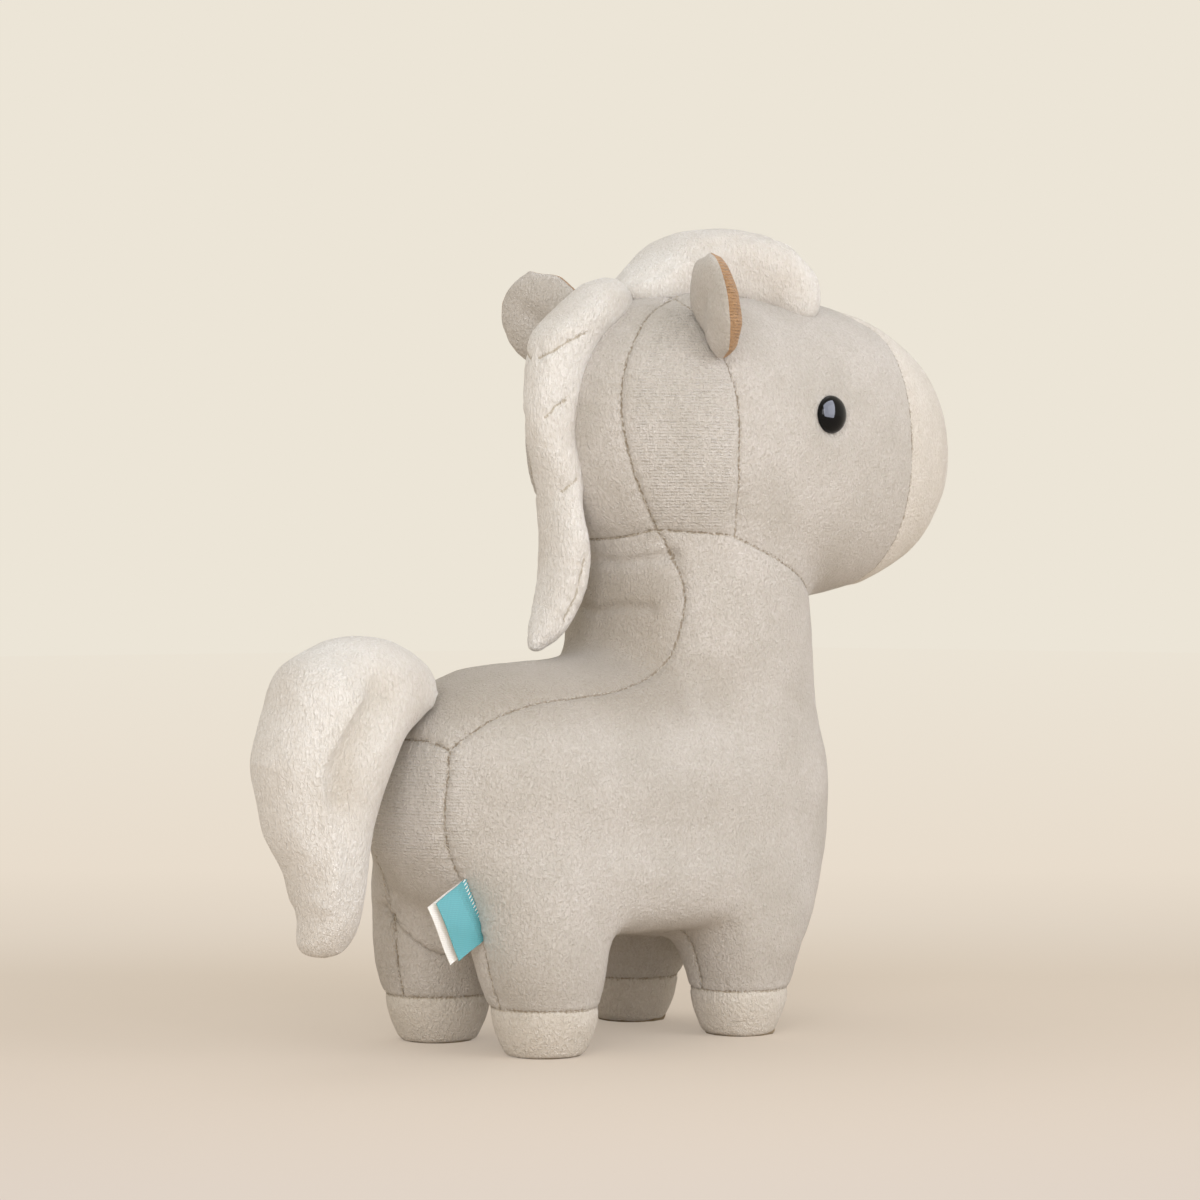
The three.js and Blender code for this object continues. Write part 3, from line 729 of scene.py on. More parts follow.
def nearest_on(lines, points, force=None):
    """For each point: distance to the nearest seam, length along the seam there, and its force."""
    every = np.vstack([line for line, _ in lines])
    runs = np.concatenate([
        np.concatenate([[0], np.cumsum(np.linalg.norm(np.diff(line, axis=0), axis=1))]) + 0.37 * i
        for i, (line, _) in enumerate(lines)])
    tree = KDTree(len(every))
    for i, p in enumerate(every):
        tree.insert(p, i)
    tree.balance()
    forces = np.repeat(force or [1.0] * len(lines), [len(line) for line, _ in lines])
    hits = [tree.find(p) for p in points]
    near = [h[1] for h in hits]
    return np.array([h[2] for h in hits]), runs[near], forces[near]


def stuff(piece, lines, cap, pressure=10.0, tight=2.0, start=-1.5 * mm):
    grow(piece, start)
    before = corners(piece.data)
    held = piece.vertex_groups.new(name="held")
    if lines:
        far = nearest_on(lines, before)[0]
        for i in np.nonzero(far < held_reach)[0]:
            held.add([int(i)], 1.0, "REPLACE")
    cloth = piece.modifiers.new("stuffed", "CLOTH")
    settings = cloth.settings
    settings.quality = 6
    settings.mass = 0.3
    settings.tension_stiffness = settings.compression_stiffness = settings.shear_stiffness = tight
    settings.bending_stiffness = 0.4
    settings.air_damping = 2.0
    settings.use_pressure = True
    settings.uniform_pressure_force = pressure
    settings.effector_weights.gravity = 0.0
    if lines:
        settings.vertex_group_mass = "held"
    cloth.collision_settings.use_collision = False
    cloth.point_cache.frame_start = 1
    cloth.point_cache.frame_end = moments
    for moment in range(1, moments + 1):
        scene.frame_set(moment)
    applied(piece)
    scene.frame_set(1)
    moved = corners(piece.data) - before
    length = np.linalg.norm(moved, axis=1)
    moved *= (np.minimum(length, cap) / np.maximum(length, 1e-9))[:, None]
    swelling = float((moved * outward(piece.data)).sum(1).mean())
    set_corners(piece.data, before + moved)
    soften(piece, 2)
    grow(piece, -start - swelling)
    print(piece.name, "swelled", round(float(length.mean()) / mm, 2), "mm, at most",
          round(float(length.max()) / mm, 2), "mm before the cap")


def shape_hooves(piece):
    """The hoof narrows to the flat sole that it is sewn round, and its lower edge is crisp."""
    points = corners(piece.data)
    for sole in soles:
        low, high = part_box(sole)
        away = points[:, :2] - np.array((low + high) / 2)[:2]
        reach = np.linalg.norm(away, axis=1)
        height = points[:, 2] / mm
        wanted = np.interp(height, hoof_rise, hoof_reach) * mm
        share = np.where((reach < 30 * mm) & (reach > 0.75 * wanted), step(-height, -24, -15), 0)
        points[:, :2] += away / np.maximum(reach, 1e-6)[:, None] * ((wanted - reach) * 0.85 * share)[:, None]
    lowered = np.maximum(points[:, 2] - 0.6 * mm, 0.3 * mm)
    points[:, 2] = np.where(points[:, 2] < 4 * mm, lowered, points[:, 2])
    set_corners(piece.data, points)


stuff(horse, horse_lines, 4 * mm, pressure=25.0)
shape_hooves(horse)
x, y, z = corners(horse.data).T
chest = step(x, 60 * mm, 95 * mm) * step(z, 45 * mm, 75 * mm) * step(-z, -150 * mm, -110 * mm)
shoulder = step(x, 42 * mm, 72 * mm) * step(abs(y), 14 * mm, 34 * mm)
shoulder *= step(z, 30 * mm, 54 * mm) * step(-z, -98 * mm, -62 * mm)
let_out = 2.6 * mm * chest + 3.6 * mm * shoulder
points = corners(horse.data) + outward(horse.data) * let_out[:, None]
slim = step(x, 5 * mm, 15 * mm) * step(-z, -46 * mm, -24 * mm)
leg_middle = np.column_stack([np.full(len(x), 43.1 * mm), np.sign(y) * 35 * mm])
points[:, :2] -= slim[:, None] * (0.06 * (points[:, :2] - leg_middle) + np.array([1.0 * mm, 0]))
set_corners(horse.data, points)

# %% [markdown]
# After the swelling comes the small relief that the simulation's cells are too coarse for: a
# sharp groove at each seam with a shallow valley round it, puckers every few millimetres
# along it, and soft lumps where the fibre filling isn't even. The neck and the left side of the
# rump also fold where no seam is. The distance to the nearest seam is kept on the mesh, and the
# plush material reads it to part the pile there. Two more numbers are kept for it: how far the
# knit shows through, and how much painted shade darkens the cloth where less light falls.

# %% Seam relief
far_enough = 20 * mm


def wave(points, size, seed=0.0):
    """Smooth noise from -1 to 1 whose lumps are about this size."""
    shift = Vector((seed, 1.7 * seed, -seed))
    return np.array([noise.noise(Vector(p) / size + shift) for p in points])


def keep(mesh, name, values):
    kept = mesh.attributes.new(name, "FLOAT", "POINT")
    kept.data.foreach_set("value", np.asarray(values, np.float32))


def relief(piece, lines, depth=1.1 * mm, width=1.1 * mm, valley=0.7 * mm, reach=5 * mm,
           pucker=0.22 * mm, period=5.5 * mm, lumps=0.4 * mm, lump_size=24 * mm, seed=0.0, force=None):
    points = corners(piece.data)
    push = lumps * wave(points, lump_size, seed) + 0.15 * mm * wave(points, 6 * mm, seed + 5)
    far = np.full(len(points), far_enough)
    if lines:
        far, run, strength = nearest_on(lines, points, force)
        phase = 2 * math.pi * run / period + 2.5 * np.sin(run / (11 * mm))
        folds = pucker * np.cos(phase) * np.exp(-((far - 3 * mm) / (3 * mm)) ** 2)
        hold = depth * np.exp(-(far / width) ** 2) + valley * np.exp(-(far / reach) ** 2)
        push += strength * (folds * strength - hold)
    grow(piece, push)
    keep(piece.data, "from_seam", np.minimum(far, far_enough))
    piece.data.shade_smooth()


def press(piece, lines, depth, width):
    """A soft crease along lines, with no seam in it. A depth below zero raises a ridge."""
    far = nearest_on(lines, corners(piece.data))[0]
    grow(piece, -depth * np.exp(-(far / width) ** 2))


neck_folds = [[(-8.6, -1.1, 206.4), (-8.4, -10.6, 205.4), (-4.2, -22, 206.2), (4.6, -34.7, 207.9)],
              [(-10.1, 3.7, 183.8), (-8.4, -13.8, 186), (-3.2, -27.3, 185.6)]]
subdivide(horse, 2)
horse_lines = all_seams(horse)
seam_force = [1.0] * len(cover_seams) + [0.75] * len(hooves) + [0.8, 0.4]
relief(horse, horse_lines, seed=1.0, force=seam_force)
fold_lines = laid(horse, [line for fold in neck_folds for line in both_sides(fold)])
press(horse, fold_lines, 1.9 * mm, 2.4 * mm)
rump_fold = [(-102.9, 31.5, 59.8), (-98.7, 21.7, 48.9), (-93.3, 15.1, 42.3), (-84.5, 9.2, 38.3)]


def fold_over(piece, lines, out_by, in_by, reach):
    """Cloth that bulges over a line and tucks in below it."""
    points = corners(piece.data)
    every = np.vstack([line for line, _ in lines])
    near = np.nonzero((points[:, 0] < -60 * mm) & (points[:, 2] < 95 * mm))[0]
    push = np.zeros(len(points))
    for i in near:
        gap = points[i] - every
        away = np.linalg.norm(gap, axis=1)
        k = away.argmin()
        above = gap[k][2] / max(away[k], 1e-6)
        fade = math.exp(-(away[k] / reach) ** 2)
        crease = 1.2 * mm * math.exp(-(away[k] / (2 * mm)) ** 2)
        push[i] = (out_by if above > 0 else in_by) * abs(above) * fade - crease
    grow(piece, push)


fold_over(horse, laid(horse, [rump_fold]), 1.5 * mm, -1.9 * mm, 12 * mm)
x, y, z = corners(horse.data).T
crown_x = np.interp(z / mm, [218, 252, 279, 307, 322], [-6, -21, -22, -7, 16]) * mm
between = step(x - crown_x, 0, 4 * mm) * step(-x, -20 * mm, -16 * mm) * step(z, 214 * mm, 224 * mm)
rump = step(-x, 104 * mm, 116 * mm) * step(-z, -134 * mm, -124 * mm) * step(z, 66 * mm, 90 * mm)
keep(horse.data, "knit", np.maximum(0.6 * between * step(np.abs(y), 24 * mm, 34 * mm), 0.5 * rump))
# Painted shade, kept as a mask for the plush: the top of the back, the lower legs and the hooves are darkened
# where less light falls, and the nape behind the mane's lock takes a painted shadow of the lock.
on_back = step(z, 128 * mm, 150 * mm) * step(-x, -50 * mm, -10 * mm) * step(-z, -172 * mm, -160 * mm)
on_legs = 0.8 * step(-z, -70 * mm, -30 * mm) * step(z, 21 * mm, 26 * mm) * step(np.abs(y), 22 * mm, 40 * mm)
nape = 2.0 * step(-x, -14 * mm, 4 * mm) * step(z, 128 * mm, 150 * mm) * step(-z, -216 * mm, -190 * mm)
on_hooves = 0.7 * step(-z, -22.5 * mm, -20.5 * mm)
keep(horse.data, "painted_shade", 0.26 * np.max([on_back, on_legs, nape, on_hooves], axis=0))
stitch_lines = all_seams(horse)[:-1]
print("horse", len(horse.data.polygons), "faces")

# %% [markdown]
# Safety eyes are pulled tight against the cloth by the washers behind them, so each sits in a
# shallow dimple. The skin round each eye is pressed in to just below the eye's rim.

# %% Eye dimples
eye_low, eye_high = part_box("eye_right")
eye_place = Vector(((eye_low.x + eye_high.x) / 2, eye_low.y + 5 * mm, (eye_low.z + eye_high.z) / 2))


def press_eyes(piece, radius=8.4 * mm):
    points = corners(piece.data)
    for hand in (-1, 1):
        flat = np.hypot(points[:, 0] - eye_place.x, points[:, 2] - eye_place.z)
        rim = abs(eye_place.y) - 0.4 * mm + 0.3 * np.maximum(flat - radius, 0)
        high = np.abs(points[:, 1]) - rim
        soft = np.clip(1 - (flat - radius) / (9 * mm), 0, 1)
        points[:, 1] -= np.where((points[:, 1] * hand > 0) & (high > 0), hand * high * soft, 0)
    set_corners(piece.data, points)


press_eyes(horse)
print("eyes at", [round(v / mm) for v in eye_place])

# %% [markdown]
# The panels are one skin so far. Now the skin is cut along its seams into the covers that the
# real horse has: head, face panel, body and hooves. Each is closed inside, where nothing
# shows. Every hoof rests on a flat disc of a darker fabric, its sole.

# %% Cut the covers apart
def cut_in_two(mesh, side_of):
    """Splits a mesh along the zero line of side_of, into the part below zero and the part above."""
    bm = opened(mesh)
    layer = bm.verts.layers.float.new("side")
    for vertex, value in zip(bm.verts, side_of(corners(mesh))):
        vertex[layer] = value if abs(value) > 0.02 * mm else 0.0
    for edge in [e for e in bm.edges if e.verts[0][layer] * e.verts[1][layer] < 0]:
        a, b = edge.verts
        made = bmesh.utils.edge_split(edge, a, a[layer] / (a[layer] - b[layer]))[1]
        made[layer] = 0.0
    bmesh.ops.connect_verts(bm, verts=[v for v in bm.verts if v[layer] == 0.0])
    bm.faces.index_update()
    above = {f.index for f in bm.faces if sum(v[layer] for v in f.verts) > 0}
    halves = []
    for kept in (False, True):
        half = bm.copy()
        bmesh.ops.delete(half, geom=[f for f in half.faces if (f.index in above) != kept], context="FACES")
        half.verts.layers.float.remove(half.verts.layers.float["side"])
        halves.append(closed(half, bpy.data.meshes.new("cover")))
    bm.free()
    return halves


def closed_up(mesh):
    bm = opened(mesh)
    close_openings(bm)
    return closed(bm, mesh)


def one_hoof(mesh, middle):
    bm = opened(mesh)
    gone = [v for v in bm.verts if (v.co.x - middle.x) ** 2 + (v.co.y - middle.y) ** 2 > (33 * mm) ** 2]
    bmesh.ops.delete(bm, geom=gone, context="VERTS")
    return closed(bm, bpy.data.meshes.new("hoof"))


def dress(piece, material):
    piece.data.materials.clear()
    piece.data.materials.append(material)


def finish_cover(piece, slot, body_name, fill, *replaced):
    """Gives a cover its plush and its place among the pieces. The mane, which bends between two
    bodies, has no body name here."""
    dress(piece, fabrics[slot])
    piece.data.shade_smooth()
    if body_name:
        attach(piece, body_name)
    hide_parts(*replaced)
    print(piece.name, len(piece.data.polygons), "faces")


rest_height = 0.3 * mm
points = corners(horse.data)
points[:, 2] = np.maximum(points[:, 2], rest_height)
set_corners(horse.data, points)
horse_tree = tree_of(horse)
lower_mesh, head_mesh = cut_in_two(horse.data, above_neck)
bpy.data.objects.remove(horse)
head_mesh, face_mesh = cut_in_two(head_mesh, on_face)
body_mesh, hooves_mesh = cut_in_two(lower_mesh, in_hoof)
finish_cover(link("head_cover", closed_up(head_mesh)), "cover_plush", "horse", 0.85, "head")
finish_cover(link("face_cover", closed_up(face_mesh)), "pale_plush", "horse", 0.85, "face_gusset")
finish_cover(link("body_cover", closed_up(body_mesh)), "cover_plush", "horse", 0.8,
             "torso", "neck", *legs, "stuffing")
for node in hooves:
    low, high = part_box(node)
    hoof = link(node.replace("hoof", "hoof_cover"), closed_up(one_hoof(hooves_mesh, (low + high) / 2)))
    finish_cover(hoof, "pale_plush", "horse", 0.8, node)
for sole in soles:
    dress(nodes[sole], sole_plush)

# %% [markdown]
# The mane, forelock and tail are stuffed locks of a whiter, silkier plush. The mane is one
# strip down the back of the neck, quilted by short lines of stitching, and its last lock
# swings free on the fold at its root, so this one piece bends between the two bodies.

# %% Mane
def rests_on(piece, ground, depth=0.4 * mm):
    """Brings every point that lies inside the ground up to just under its surface."""
    points = corners(piece.data)
    for i, p in enumerate(points):
        place, normal, _, _ = ground.find_nearest(Vector(p))
        if (Vector(p) - place).dot(normal) < -depth:
            points[i] = place - normal * depth
    set_corners(piece.data, points)


head_middle = np.array([35 * mm, 0, 265 * mm])


def towards_head(distance):
    def move(points):
        way = head_middle - points
        return points + way / np.linalg.norm(way, axis=1)[:, None] * distance
    return move


mane_quilting = [
    [(-28.6, -17.6, 302.2), (-33.3, -15.8, 300.8), (-36.7, -12.6, 299.5), (-40.7, -8.7, 295.7),
     (-41.9, -2.3, 292.1)],
    [(-36.1, -13.2, 274.3), (-39.3, -11.7, 272.6), (-41.5, -9, 271.3), (-43.3, -5.2, 267.1)],
    [(-31.1, -10.7, 240.8), (-34.9, -6.7, 235.7)],
    [(-28.1, -13.2, 206.1), (-30.2, -13, 197.6), (-32.9, -12.2, 189), (-36.6, -10.6, 180.5)]]
mane_seams = [line for seam in mane_quilting for line in both_sides(seam)]
root_bridge = np.vstack([part_of("mane_upper", lambda x, y, z: z < 249),
                         part_of("mane_lock", lambda x, y, z: z > 218)])
mane = skin("mane", ["mane_upper", "mane_lock"], 3 * mm, rounds=60, fill=8, bridges=[root_bridge],
            sunk=[towards_head(d * mm) for d in (2.5, 5, 7.5)])
soften(mane, 120, push=0.51)
points = corners(mane.data)
points += (towards_head(5 * mm)(points) - points) * step(points[:, 2], 300 * mm, 322 * mm)[:, None]
upper = step(points[:, 2], 236 * mm, 262 * mm)
points[:, 1] *= 1 - 0.24 * upper
points[:, 0] -= 4 * mm * upper * step(-points[:, 2], -322 * mm, -300 * mm)
tip = np.clip((198 * mm - points[:, 2]) / (30 * mm), 0, 1) ** 2
points[:, 1] *= 1 - 0.25 * tip
points[:, 0] -= 3.5 * mm * tip
points[:, 2] -= 3 * mm * tip
set_corners(mane.data, points)
stuff(mane, laid(mane, mane_seams), 2 * mm)
subdivide(mane, 2)
relief(mane, laid(mane, mane_seams), seed=4.0, depth=0.7 * mm, valley=0.6 * mm, reach=4 * mm, lumps=0.4 * mm)
rests_on(mane, horse_tree)
finish_cover(mane, "mane_plush", None, 0.75, "mane_upper", "mane_upper_stuffing", "mane_lock",
             "mane_lock_stuffing")
mane_hinge = hinge_of("mane_lock_seam")[0]
half_bend = Vector((0, 0, 7 * mm))
mane_bend = [mane_hinge + half_bend, mane_hinge - half_bend]
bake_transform(mane, "horse", "mane_lock", start=mane_bend[0], end=mane_bend[1])

# %% [markdown]
# The forelock is one stuffed lock of the same white plush, sewn along the crown. It is flat at
# its root and lies a little over to the right, so the plain form is turned about the head's
# middle, more towards its tip. A soft crease runs along each of its sides.

# %% Forelock
forelock_crease = [(4.8, -5.8, 330.7), (11.3, -14.1, 333.5), (21.5, -18.6, 339.5), (33, -21.7, 342.3),
                   (50.3, -23.4, 343.3), (69.2, -24.3, 341.4), (84.7, -24.5, 335.7)]


def lowered_by(distance):
    return lambda points: points - np.array([0, 0, distance])


forelock = skin("forelock_cover", ["forelock"], 3 * mm, rounds=80, sunk=[lowered_by(d * mm) for d in (3, 6)])
soften(forelock, 150, push=0.508)
points = corners(forelock.data)
front = step(points[:, 0], 20 * mm, 100 * mm)
points[:, 1] *= 1 + 0.15 * front
points[:, 0] -= 13 * mm * step(points[:, 0], 55 * mm, 112 * mm)
low_end = points[:, 2].min()
points[:, 2] = low_end + (points[:, 2] - low_end) * (1 - 0.3 * step(-points[:, 0], -42 * mm, -6 * mm))
swept = math.radians(13) * front
y, z = points[:, 1].copy(), points[:, 2] - head_middle[2]
points[:, 1] = y * np.cos(swept) - z * np.sin(swept)
points[:, 2] = z * np.cos(swept) + y * np.sin(swept) + head_middle[2]
set_corners(forelock.data, points)
stuff(forelock, [], 2 * mm)
subdivide(forelock, 2)
press(forelock, laid(forelock, both_sides(forelock_crease)), 0.9 * mm, 3 * mm)
relief(forelock, [], seed=5.0, lumps=0.7 * mm)
rests_on(forelock, horse_tree)
finish_cover(forelock, "mane_plush", "horse", 0.75, "forelock", "forelock_stuffing")

# %% [markdown]
# The tail is a thick stuffed lock, sewn to the rump by its root alone. A ridge runs down each
# side, with a hollow beside it near the root, where there is less filling. The hollow is
# darkened with painted shade. The tip is widened and rounded, so that it ends blunt.

# %% Tail
tail_fold = [(-157, -25, 149), (-164.1, -23.7, 140), (-171, -23, 130), (-176.4, -22.1, 120.9),
             (-172.9, -21.4, 103.6), (-169.3, -20.1, 91), (-167.1, -17.8, 78.4), (-168.3, -13.5, 66.6)]
tail_hollow = [(-149, -25, 151), (-157, -25, 139), (-165, -24, 126), (-167, -22, 110)]
tail = skin("tail_cover", ["tail"], 3.5 * mm, rounds=20)
soften(tail, 260, push=0.506)
stuff(tail, [], 2.5 * mm, pressure=20.0)
points = corners(tail.data)
low_end = points[:, 2].min()
across = (points - np.array(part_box("tail")[0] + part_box("tail")[1]) / 2) @ np.array(side)
notch = step(-points[:, 2], -98 * mm, -76 * mm) * step(points[:, 2], 48 * mm, 64 * mm)
notch *= step(-across, -4 * mm, 12 * mm)
points += np.outer(5 * mm * notch, np.array(side))
height = np.clip((points[:, 2] - low_end) / (22 * mm), 0, 1)
tip = points[points[:, 2] < low_end + 22 * mm].mean(axis=0)
points[:, :2] += (points[:, :2] - tip[:2]) * (0.45 * (1 - height) ** 2)[:, None]
set_corners(tail.data, points)
soften(tail, 30)
points = corners(tail.data)
low_end = points[:, 2].min()
points[:, 2] = low_end + np.hypot(points[:, 2] - low_end, 2 * mm)
points[:, 2] -= 5 * mm * np.clip(1 - (points[:, 2] - low_end) / (30 * mm), 0, 1) ** 2
set_corners(tail.data, points)
subdivide(tail, 2)
press(tail, laid(tail, both_sides(tail_fold)), -1.8 * mm, 4 * mm)
press(tail, laid(tail, both_sides(tail_hollow)), 4.5 * mm, 10 * mm)
points = corners(tail.data)
# Painted shade in the hollow, kept as a mask for the plush.
pressed = np.exp(-(nearest_on(laid(tail, both_sides(tail_hollow)), points)[0] / (9 * mm)) ** 2)
keep(tail.data, "painted_shade", 0.36 * pressed)
relief(tail, [], seed=6.0, lumps=0.9 * mm, lump_size=30 * mm)
finish_cover(tail, "mane_plush", "tail", 0.75, "tail", "tail_stuffing")

# %% [markdown]
# An ear is two panels: beige plush behind and tan short-pile plush in front. They are sewn
# round the edge, turned and very lightly filled, and the root is pinched so that the ear
# cups. Both panels are made as one skin, pressed in at the front and cut in two at the edge.

# %% Ears
def ear_side(root, facing, outer):
    """A function that is above zero on the tan front, which wraps round the ear's outer edge."""
    def side_of(points):
        away = points - np.array(root)
        return away @ np.array(facing) + 0.3 * mm + 2.0 * mm * step(away @ np.array(outer), 16 * mm, 34 * mm)
    return side_of


for hand, sign in (("left", 1), ("right", -1)):
    root, hinge_line = hinge_of(f"ear_{hand}_seam")
    facing = Vector((math.cos(math.radians(10)), sign * math.sin(math.radians(10)), 0))
    facing = Matrix.Rotation(math.radians(-16), 3, hinge_line) @ facing
    tall = facing.cross(hinge_line).normalized()
    ear = skin(f"ear_{hand}_skin", [f"ear_{hand}", f"ear_{hand}_lining"], 2.2 * mm, rounds=12)
    soften(ear, 90, push=0.51)
    subdivide(ear, 1)
    points = corners(ear.data) - np.array(root)
    across, out, along = points @ np.array(hinge_line), points @ np.array(facing), points @ np.array(tall)
    along = along * (1 + 0.1 * step(along, 0, 20 * mm))
    hollow = np.exp(-(across / (12 * mm)) ** 2 - ((along - 18 * mm) / (17 * mm)) ** 2)
    dent = np.exp(-(across / (5 * mm)) ** 2 - ((along - 16 * mm) / (14 * mm)) ** 2)
    out += 1.2 * mm * np.clip(out / (2 * mm), 0, 1)
    out -= 5.5 * mm * hollow * np.clip(0.5 + out / (6 * mm), 0, 1)
    out += 2.6 * mm * dent * np.clip(0.5 - out / (6 * mm), 0, 1)
    points = np.array(root) + np.outer(across, hinge_line) + np.outer(out, facing) + np.outer(along, tall)
    set_corners(ear.data, points)
    relief(ear, [], lumps=0.5 * mm, lump_size=12 * mm, seed=7.0 + sign)
    back_mesh, lining_mesh = cut_in_two(ear.data, ear_side(root, facing, (0, sign, 0)))
    bpy.data.objects.remove(ear)
    for part, mesh, node, slot in [
            ("back", back_mesh, f"ear_{hand}", "cover_plush"),
            ("front", lining_mesh, f"ear_{hand}_lining", "ear_lining")]:
        half = link(f"ear_{hand}_{part}", closed_up(mesh))
        finish_cover(half, slot, f"ear_{hand}", 0.3, node)

# %% [markdown]
# The eyes are moulded safety eyes: a glossy black dome on a shank that goes through the
# cover, held inside by a washer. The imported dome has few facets, which a gloss would show, so
# a smooth one is turned from the same sizes.

# %% Eyes
def moulded(name, tone, smooth, rough, ior):
    material, tree = empty_material(name)
    haze = lumps_of(tree, place_in(tree), 2 * mm, {"Detail": 2.0})
    surface(tree, {
        "Base Color": colour(tone), "Roughness": spread(tree, haze, 0.0, 1.0, smooth, rough),
        "IOR": ior, "Specular IOR Level": 0.25})
    return material


eye_gloss = moulded("black_gloss_plastic", "#060607", 0.04, 0.08, 1.46)
washer_white = moulded("white_matte_plastic", "#f0efe8", 0.55, 0.65, 1.5)
eye_radius = 8.4 * mm
eye_dome = 5 * mm
around = 48
for hand, sign in (("left", 1), ("right", -1)):
    low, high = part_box(f"eye_{hand}")
    turn_out = Vector((math.sin(math.radians(2)), sign * math.cos(math.radians(2)), 0))
    rim_y = high.y - eye_dome if sign > 0 else low.y + eye_dome
    middle = Vector(((low.x + high.x) / 2, rim_y, (low.z + high.z) / 2))
    upright = Vector((0, 0, 1))
    level = upright.cross(turn_out)
    bm = bmesh.new()
    profile = [(eye_radius * math.cos(t), eye_dome * math.sin(t))
               for t in np.linspace(0, math.pi / 2, 14)[:-1]]
    profile = [(eye_radius * 0.3, -2 * mm), (eye_radius * 0.97, -0.8 * mm), *profile]
    rows = [[bm.verts.new(middle + level * r * math.cos(a) + upright * r * math.sin(a) + turn_out * h)
             for a in np.linspace(0, 2 * math.pi, around, endpoint=False)] for r, h in profile]
    tip = bm.verts.new(middle + turn_out * eye_dome)
    for row, after in zip(rows, rows[1:]):
        for i in range(around):
            bm.faces.new((row[i], row[(i + 1) % around], after[(i + 1) % around], after[i]))
    for i in range(around):
        bm.faces.new((rows[-1][i], rows[-1][(i + 1) % around], tip))
    bm.faces.new(rows[0])
    bmesh.ops.recalc_face_normals(bm, faces=bm.faces)
    eye = link(f"eye_dome_{hand}", closed(bm, bpy.data.meshes.new(f"eye_dome_{hand}")))
    dress(eye, eye_gloss)
    eye.data.shade_smooth()
    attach(eye, "horse")
    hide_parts(f"eye_{hand}")
    dress(nodes[f"eye_washer_{hand}"], washer_white)
print("eyes", round(eye_radius * 2 / mm, 1), "mm across")

# %% [markdown]
# The label is a woven ribbon, folded over and caught in the rump's right seam. Its front is
# teal and its reverse is white, and the rear half sticks out a little past the front one. The
# cut edge at the seam frays into small teeth. It carries no words here.

# %% Label
ribbon_yarn = 0.8 * mm
ribbon_width = 27 * mm
front_length = 18 * mm
rear_length = 21.5 * mm
sewn_in = 1.6 * mm


def ribbon_weave(name, tone, shade):
    material, tree = empty_material(name)
    warp, weft = [rows_of(tree, place_in(tree), ribbon_yarn, way, {}) for way in "ZX"]
    weave = maths(tree, "MULTIPLY", warp, weft)
    tint = mixed(tree, weave, colour(shade), colour(tone))
    bump = add(tree, "ShaderNodeBump", {"Height": weave, "Strength": 0.4, "Distance": 0.2 * mm}).outputs[0]
    surface(tree, {"Base Color": tint, "Roughness": 0.7, "Sheen Weight": 0.2, "Normal": bump})
    return material


teal_ribbon = ribbon_weave("teal_woven_ribbon", "#3a9da0", "#2f888c")
white_ribbon = ribbon_weave("white_woven_ribbon", "#f1efe9", "#dcd8cf")
sewn, along_seam = hinge_of("label_seam")
outwards = Vector((0, 1, 0)).cross(along_seam).normalized()
away = Vector((0, -1, 0))


def ribbon_layer(bm, length, lift, curl, slot_index, teeth):
    """One layer of the ribbon, as a thin sheet with both sides, from the seam to its free edge."""
    rows, columns, thick = 37, 10, 0.35 * mm
    grid = []
    for i in range(rows):
        v = (i / (rows - 1) - 0.5) * ribbon_width
        tooth = teeth * (i % 2)
        ends = np.linspace(-sewn_in - tooth, length, columns)
        grid.append([sewn + along_seam * v + outwards * u
                     + away * (lift * min(1, max(0, u / (4 * mm))) + curl * (max(0, u) / front_length) ** 2
                               + 0.4 * mm * math.sin(v / (5 * mm) + u / (7 * mm))) for u in ends])
    top = [[bm.verts.new(p + away * thick) for p in row] for row in grid]
    under = [[bm.verts.new(p) for p in row] for row in grid]
    for i in range(rows - 1):
        for j in range(columns - 1):
            upper = bm.faces.new((top[i][j], top[i + 1][j], top[i + 1][j + 1], top[i][j + 1]))
            upper.material_index = slot_index
            lower = bm.faces.new((under[i][j], under[i][j + 1], under[i + 1][j + 1], under[i + 1][j]))
            lower.material_index = 1
    edge = [(0, j) for j in range(columns)] + [(i, columns - 1) for i in range(1, rows)]
    edge += [(rows - 1, j) for j in range(columns - 2, -1, -1)] + [(i, 0) for i in range(rows - 2, -1, -1)]
    for (a, b), (c, d) in zip(edge, edge[1:]):
        bm.faces.new((top[a][b], top[c][d], under[c][d], under[a][b])).material_index = slot_index


bm = bmesh.new()
ribbon_layer(bm, front_length, lift=1.5 * mm, curl=1.2 * mm, slot_index=0, teeth=0.8 * mm)
ribbon_layer(bm, rear_length, lift=0.2 * mm, curl=0.4 * mm, slot_index=1, teeth=0.0)
bmesh.ops.recalc_face_normals(bm, faces=bm.faces)
label_mesh = closed(bm, bpy.data.meshes.new("label_ribbon"))
label = link("label_ribbon", label_mesh)
label_mesh.materials.append(teal_ribbon)
label_mesh.materials.append(white_ribbon)
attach(label, "label")
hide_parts("label")
print("label", len(label_mesh.polygons), "faces")

# %% [markdown]
# The panels are closed with small ladder stitches that sink into the seam. One stitch is a
# short, thick piece of thread, and Geometry Nodes set it along every seam line at an even
# spacing, each a little different. They keep clear of the ears and the label, which swing. The
# result is made plain mesh, one piece for the covers, one for the mane and one for its lock.

# %% Stitches
thread, tree = empty_material("beige_polyester_thread")
tint = mixed(tree, lumps_of(tree, place_in(tree), 0.6 * mm, {}), colour("#aca08b"), colour("#c4baa8"))
surface(tree, {"Base Color": tint, "Roughness": 0.6, "Sheen Weight": 0.3})

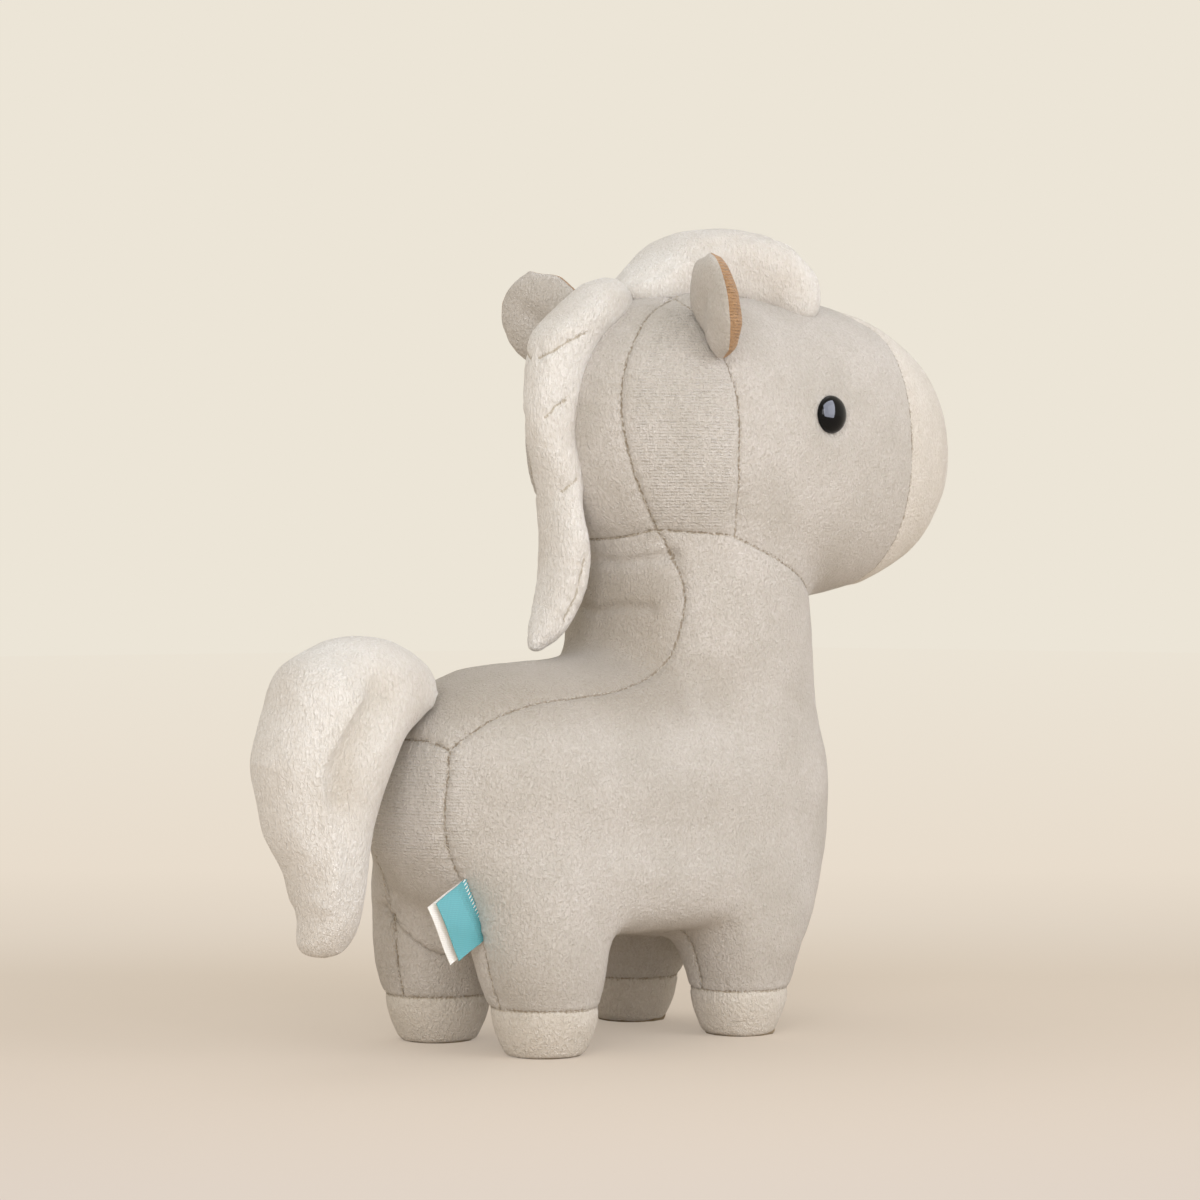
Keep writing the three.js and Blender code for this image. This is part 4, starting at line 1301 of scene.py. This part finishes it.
stitching = bpy.data.node_groups.new("ladder_stitches", "GeometryNodeTree")
for name, kind, usual in [
        ("Seams", "Geometry", None), ("Length", "Float", 1.8 * mm), ("Thickness", "Float", 0.42 * mm),
        ("Spacing", "Float", 2.8 * mm), ("Seed", "Int", 3)]:
    socket = stitching.interface.new_socket(name, in_out="INPUT", socket_type=f"NodeSocket{kind}")
    if usual is not None:
        socket.default_value = usual
stitching.interface.new_socket("Stitches", in_out="OUTPUT", socket_type="NodeSocketGeometry")
given = add(stitching, "NodeGroupInput").outputs
spaced = add(stitching, "GeometryNodeResampleCurve", {
    "Curve": add(stitching, "GeometryNodeMeshToCurve", {"Mesh": given["Seams"]}).outputs[0],
    "Length": given["Spacing"]}, mode="LENGTH").outputs[0]
along = add(stitching, "FunctionNodeAlignRotationToVector", {
    "Vector": add(stitching, "GeometryNodeInputTangent").outputs[0]}, axis="Z").outputs[0]
halves = [maths(stitching, "MULTIPLY", given[name], 0.5) for name in ("Thickness", "Length")]
size = add(stitching, "ShaderNodeCombineXYZ", {"X": halves[0], "Y": halves[0], "Z": halves[1]}).outputs[0]
bead = add(stitching, "GeometryNodeMeshUVSphere", {"Segments": 6, "Rings": 5, "Radius": 1.0}).outputs["Mesh"]
vary = add(stitching, "FunctionNodeRandomValue", {
    0: (0.8, 0.8, 0.7), 1: (1.1, 1.1, 1.15), "Seed": given["Seed"]}, data_type="FLOAT_VECTOR").outputs[0]
size = add(stitching, "ShaderNodeVectorMath", {0: size, 1: vary}, operation="MULTIPLY").outputs[0]
copies = add(stitching, "GeometryNodeInstanceOnPoints", {
    "Points": spaced, "Instance": bead, "Rotation": along, "Scale": size}).outputs[0]
real = add(stitching, "GeometryNodeRealizeInstances", {"Geometry": copies}).outputs[0]
add(stitching, "NodeGroupOutput", {0: add(
    stitching, "GeometryNodeSetMaterial", {"Geometry": real, "Material": thread}).outputs[0]})


hinges = []
for name, half in [("ear_left_seam", 15 * mm), ("ear_right_seam", 15 * mm), ("label_seam", 18 * mm)]:
    middle, line = hinge_of(name)
    hinges += [middle + line * t * half for t in np.linspace(-1, 1, 9)]
hinges = np.array(hinges)
clear_of_hinge = 8 * mm
stitch_seed = 11
lock_top = 227 * mm


def stitch(name, lines, body):
    """Stitches along lines on a cover, clear of the hinges, as one piece that rides on a body."""
    bm = bmesh.new()
    for points, normals in lines:
        row = [bm.verts.new(p + n * 0.15 * mm) for p, n in zip(points, normals)]
        for a, b in zip(row, row[1:]):
            if np.linalg.norm(hinges - np.array(a.co), axis=1).min() > clear_of_hinge:
                bm.edges.new((a, b))
    piece = link(name, closed(bm, bpy.data.meshes.new(name)))
    laid_on = piece.modifiers.new("stitching", "NODES")
    laid_on.node_group = stitching
    for socket in stitching.interface.items_tree:
        if socket.in_out == "INPUT" and socket.name == "Seed":
            laid_on[socket.identifier] = stitch_seed
    applied(piece)
    piece.data.shade_smooth()
    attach(piece, body)
    print(name, len(piece.data.polygons), "faces")


stitch("cover_stitches", stitch_lines, "horse")
mane_lines = laid(mane, mane_seams)
upper_lines = [line for line in mane_lines if line[0][:, 2].mean() > lock_top]
lock_lines = [line for line in mane_lines if line[0][:, 2].mean() < lock_top]
stitch("mane_stitches", upper_lines, "horse")
stitch("mane_lock_stitches", lock_lines, "mane_lock")

# %% Finish
low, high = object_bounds()
print("visual box", [round(v / mm, 1) for v in (*low, *high)])
